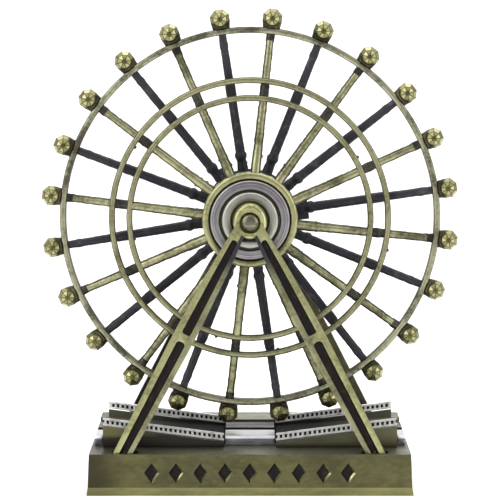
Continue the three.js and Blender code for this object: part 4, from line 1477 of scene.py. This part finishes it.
make_rim()
make_ring("outer_ring_casting", RING_RADII[0], "outer_spoke_ring", (-58, 103, 168))
make_ring("inner_ring_casting", RING_RADII[1], "inner_spoke_ring", (20, 196, -100, 60))
make_spider(
    "front_spider",
    "front_spoke_spider",
    FIRST_SPOKE,
    0.0,
    (spoke_bronze, gap_bronze, side_shade_bronze, flange_bronze),
    FRONT_SWELLS,
    0.05,
    FRONT_CRUMBS,
    "bright_bronze",
    19,
)
make_spider(
    "rear_spider",
    "rear_spoke_spider",
    -FIRST_SPOKE - 180 / SPOKE_PAIRS,
    math.pi,
    (spoke_black, spoke_black, spoke_black, spoke_black),
    REAR_SWELLS,
    0.025,
    REAR_CRUMBS,
    "blackened_bronze",
    20,
)
make_hub()
make_capsules()
make_a_frame("front_frame", "front_a_frame", PLINTH_TOP, 0.0)
make_a_frame("rear_frame", "rear_a_frame", LAND_TOP, math.pi)
make_base()
make_pad()
make_plate()
for side, sign, turn, material in (
    ("right", 1, 0.0, ramp_bronze),
    ("left", -1, math.pi, deeper_shade_ramp_bronze),
):
    make_ramp(f"{side}_ramp_casting", f"{side}_ramp", turn, material)
    # Front railings take the paint shaded darker, rear ones the paint lit brighter
    for end, to_back, level, plating in (
        ("front", -1, PLINTH_TOP, silver_paint),
        ("rear", 1, LAND_TOP, rear_lit_silver_paint),
    ):
        corner = f"{side}_{end}"
        rail_y = to_back * (RAMP_HALF_DEPTH - RAMP_WALL / 2)
        make_railing(corner + "_rail", corner + "_railing", rail_y, turn, plating)
        x, y = sign * foot_x(level), to_back * foot_y(level)
        make_leg_screw(corner + "_screw", corner + "_leg_screw", x, y, level)
make_axle()


# Studio, in metres but for the camera's place

CAMERA_DISTANCE = 557
CAMERA_HEIGHT = 128.4
CAMERA_TILT = 83.22  # degrees from straight down
SENSOR_WIDTH = 36
FOCAL_PIXELS = 2092  # focal length in pixels of the image
IMAGE_PIXELS = 500


def make_floor():
    """A pale sweep: a floor that rises into a backdrop."""
    half = 1.6
    outline = [(-3.0, 0.0), (0.75, 0.0), (0.93, 0.03), (1.06, 0.12), (1.13, 0.27), (1.15, 1.5)]
    floor = draw_line("studio_sweep", [Vector((-half, y, z)) for y, z in outline])
    bpy.ops.mesh.select_all(action="SELECT")
    bpy.ops.mesh.extrude_region_move(TRANSFORM_OT_translate={"value": (2 * half, 0, 0)})
    close_edit()
    apply_modifier(floor, "BEVEL", width=0.05, segments=6, limit_method="ANGLE")
    activate(floor)
    bpy.ops.object.shade_smooth()
    paint(floor, paper("studio_paper", "#f8f8f7"))


def add_light(name, location, size, power, aim=(0, 0, 0.06)):
    bpy.ops.object.light_add(type="AREA", location=location)
    lamp = bpy.context.object
    lamp.name = name
    lamp.data.shape = "RECTANGLE"
    lamp.data.size, lamp.data.size_y = size
    lamp.data.energy = power
    lamp.rotation_euler = (Vector(aim) - Vector(location)).to_track_quat("-Z", "Y").to_euler()


def make_studio():
    make_floor()
    add_light("overhead_softbox", (0, 0.05, 0.75), (1.1, 1.1), 7)
    add_light("left_softbox", (-0.75, -0.55, 0.5), (0.9, 0.9), 6)
    add_light("right_softbox", (0.8, -0.4, 0.4), (0.7, 0.9), 4)
    add_light("backdrop_softbox", (0, 0.35, 0.9), (1.6, 0.5), 6, (0, 1.15, 0.25))
    world = bpy.data.worlds.new("studio_air")
    world.use_nodes = True
    world.node_tree.nodes["Background"].inputs["Color"].default_value = (1, 1, 1, 1)
    world.node_tree.nodes["Background"].inputs["Strength"].default_value = 0.55
    bpy.context.scene.world = world
    bpy.context.scene.view_settings.view_transform = "Standard"
    bpy.ops.object.camera_add(
        location=mm(0, -CAMERA_DISTANCE, CAMERA_HEIGHT), rotation=(math.radians(CAMERA_TILT), 0, 0)
    )
    camera = bpy.context.object
    camera.name = "photograph_camera"
    camera.data.sensor_width = SENSOR_WIDTH
    camera.data.lens = FOCAL_PIXELS / IMAGE_PIXELS * SENSOR_WIDTH
    camera.data.clip_start = 0.01
    bpy.context.scene.camera = camera


make_studio()
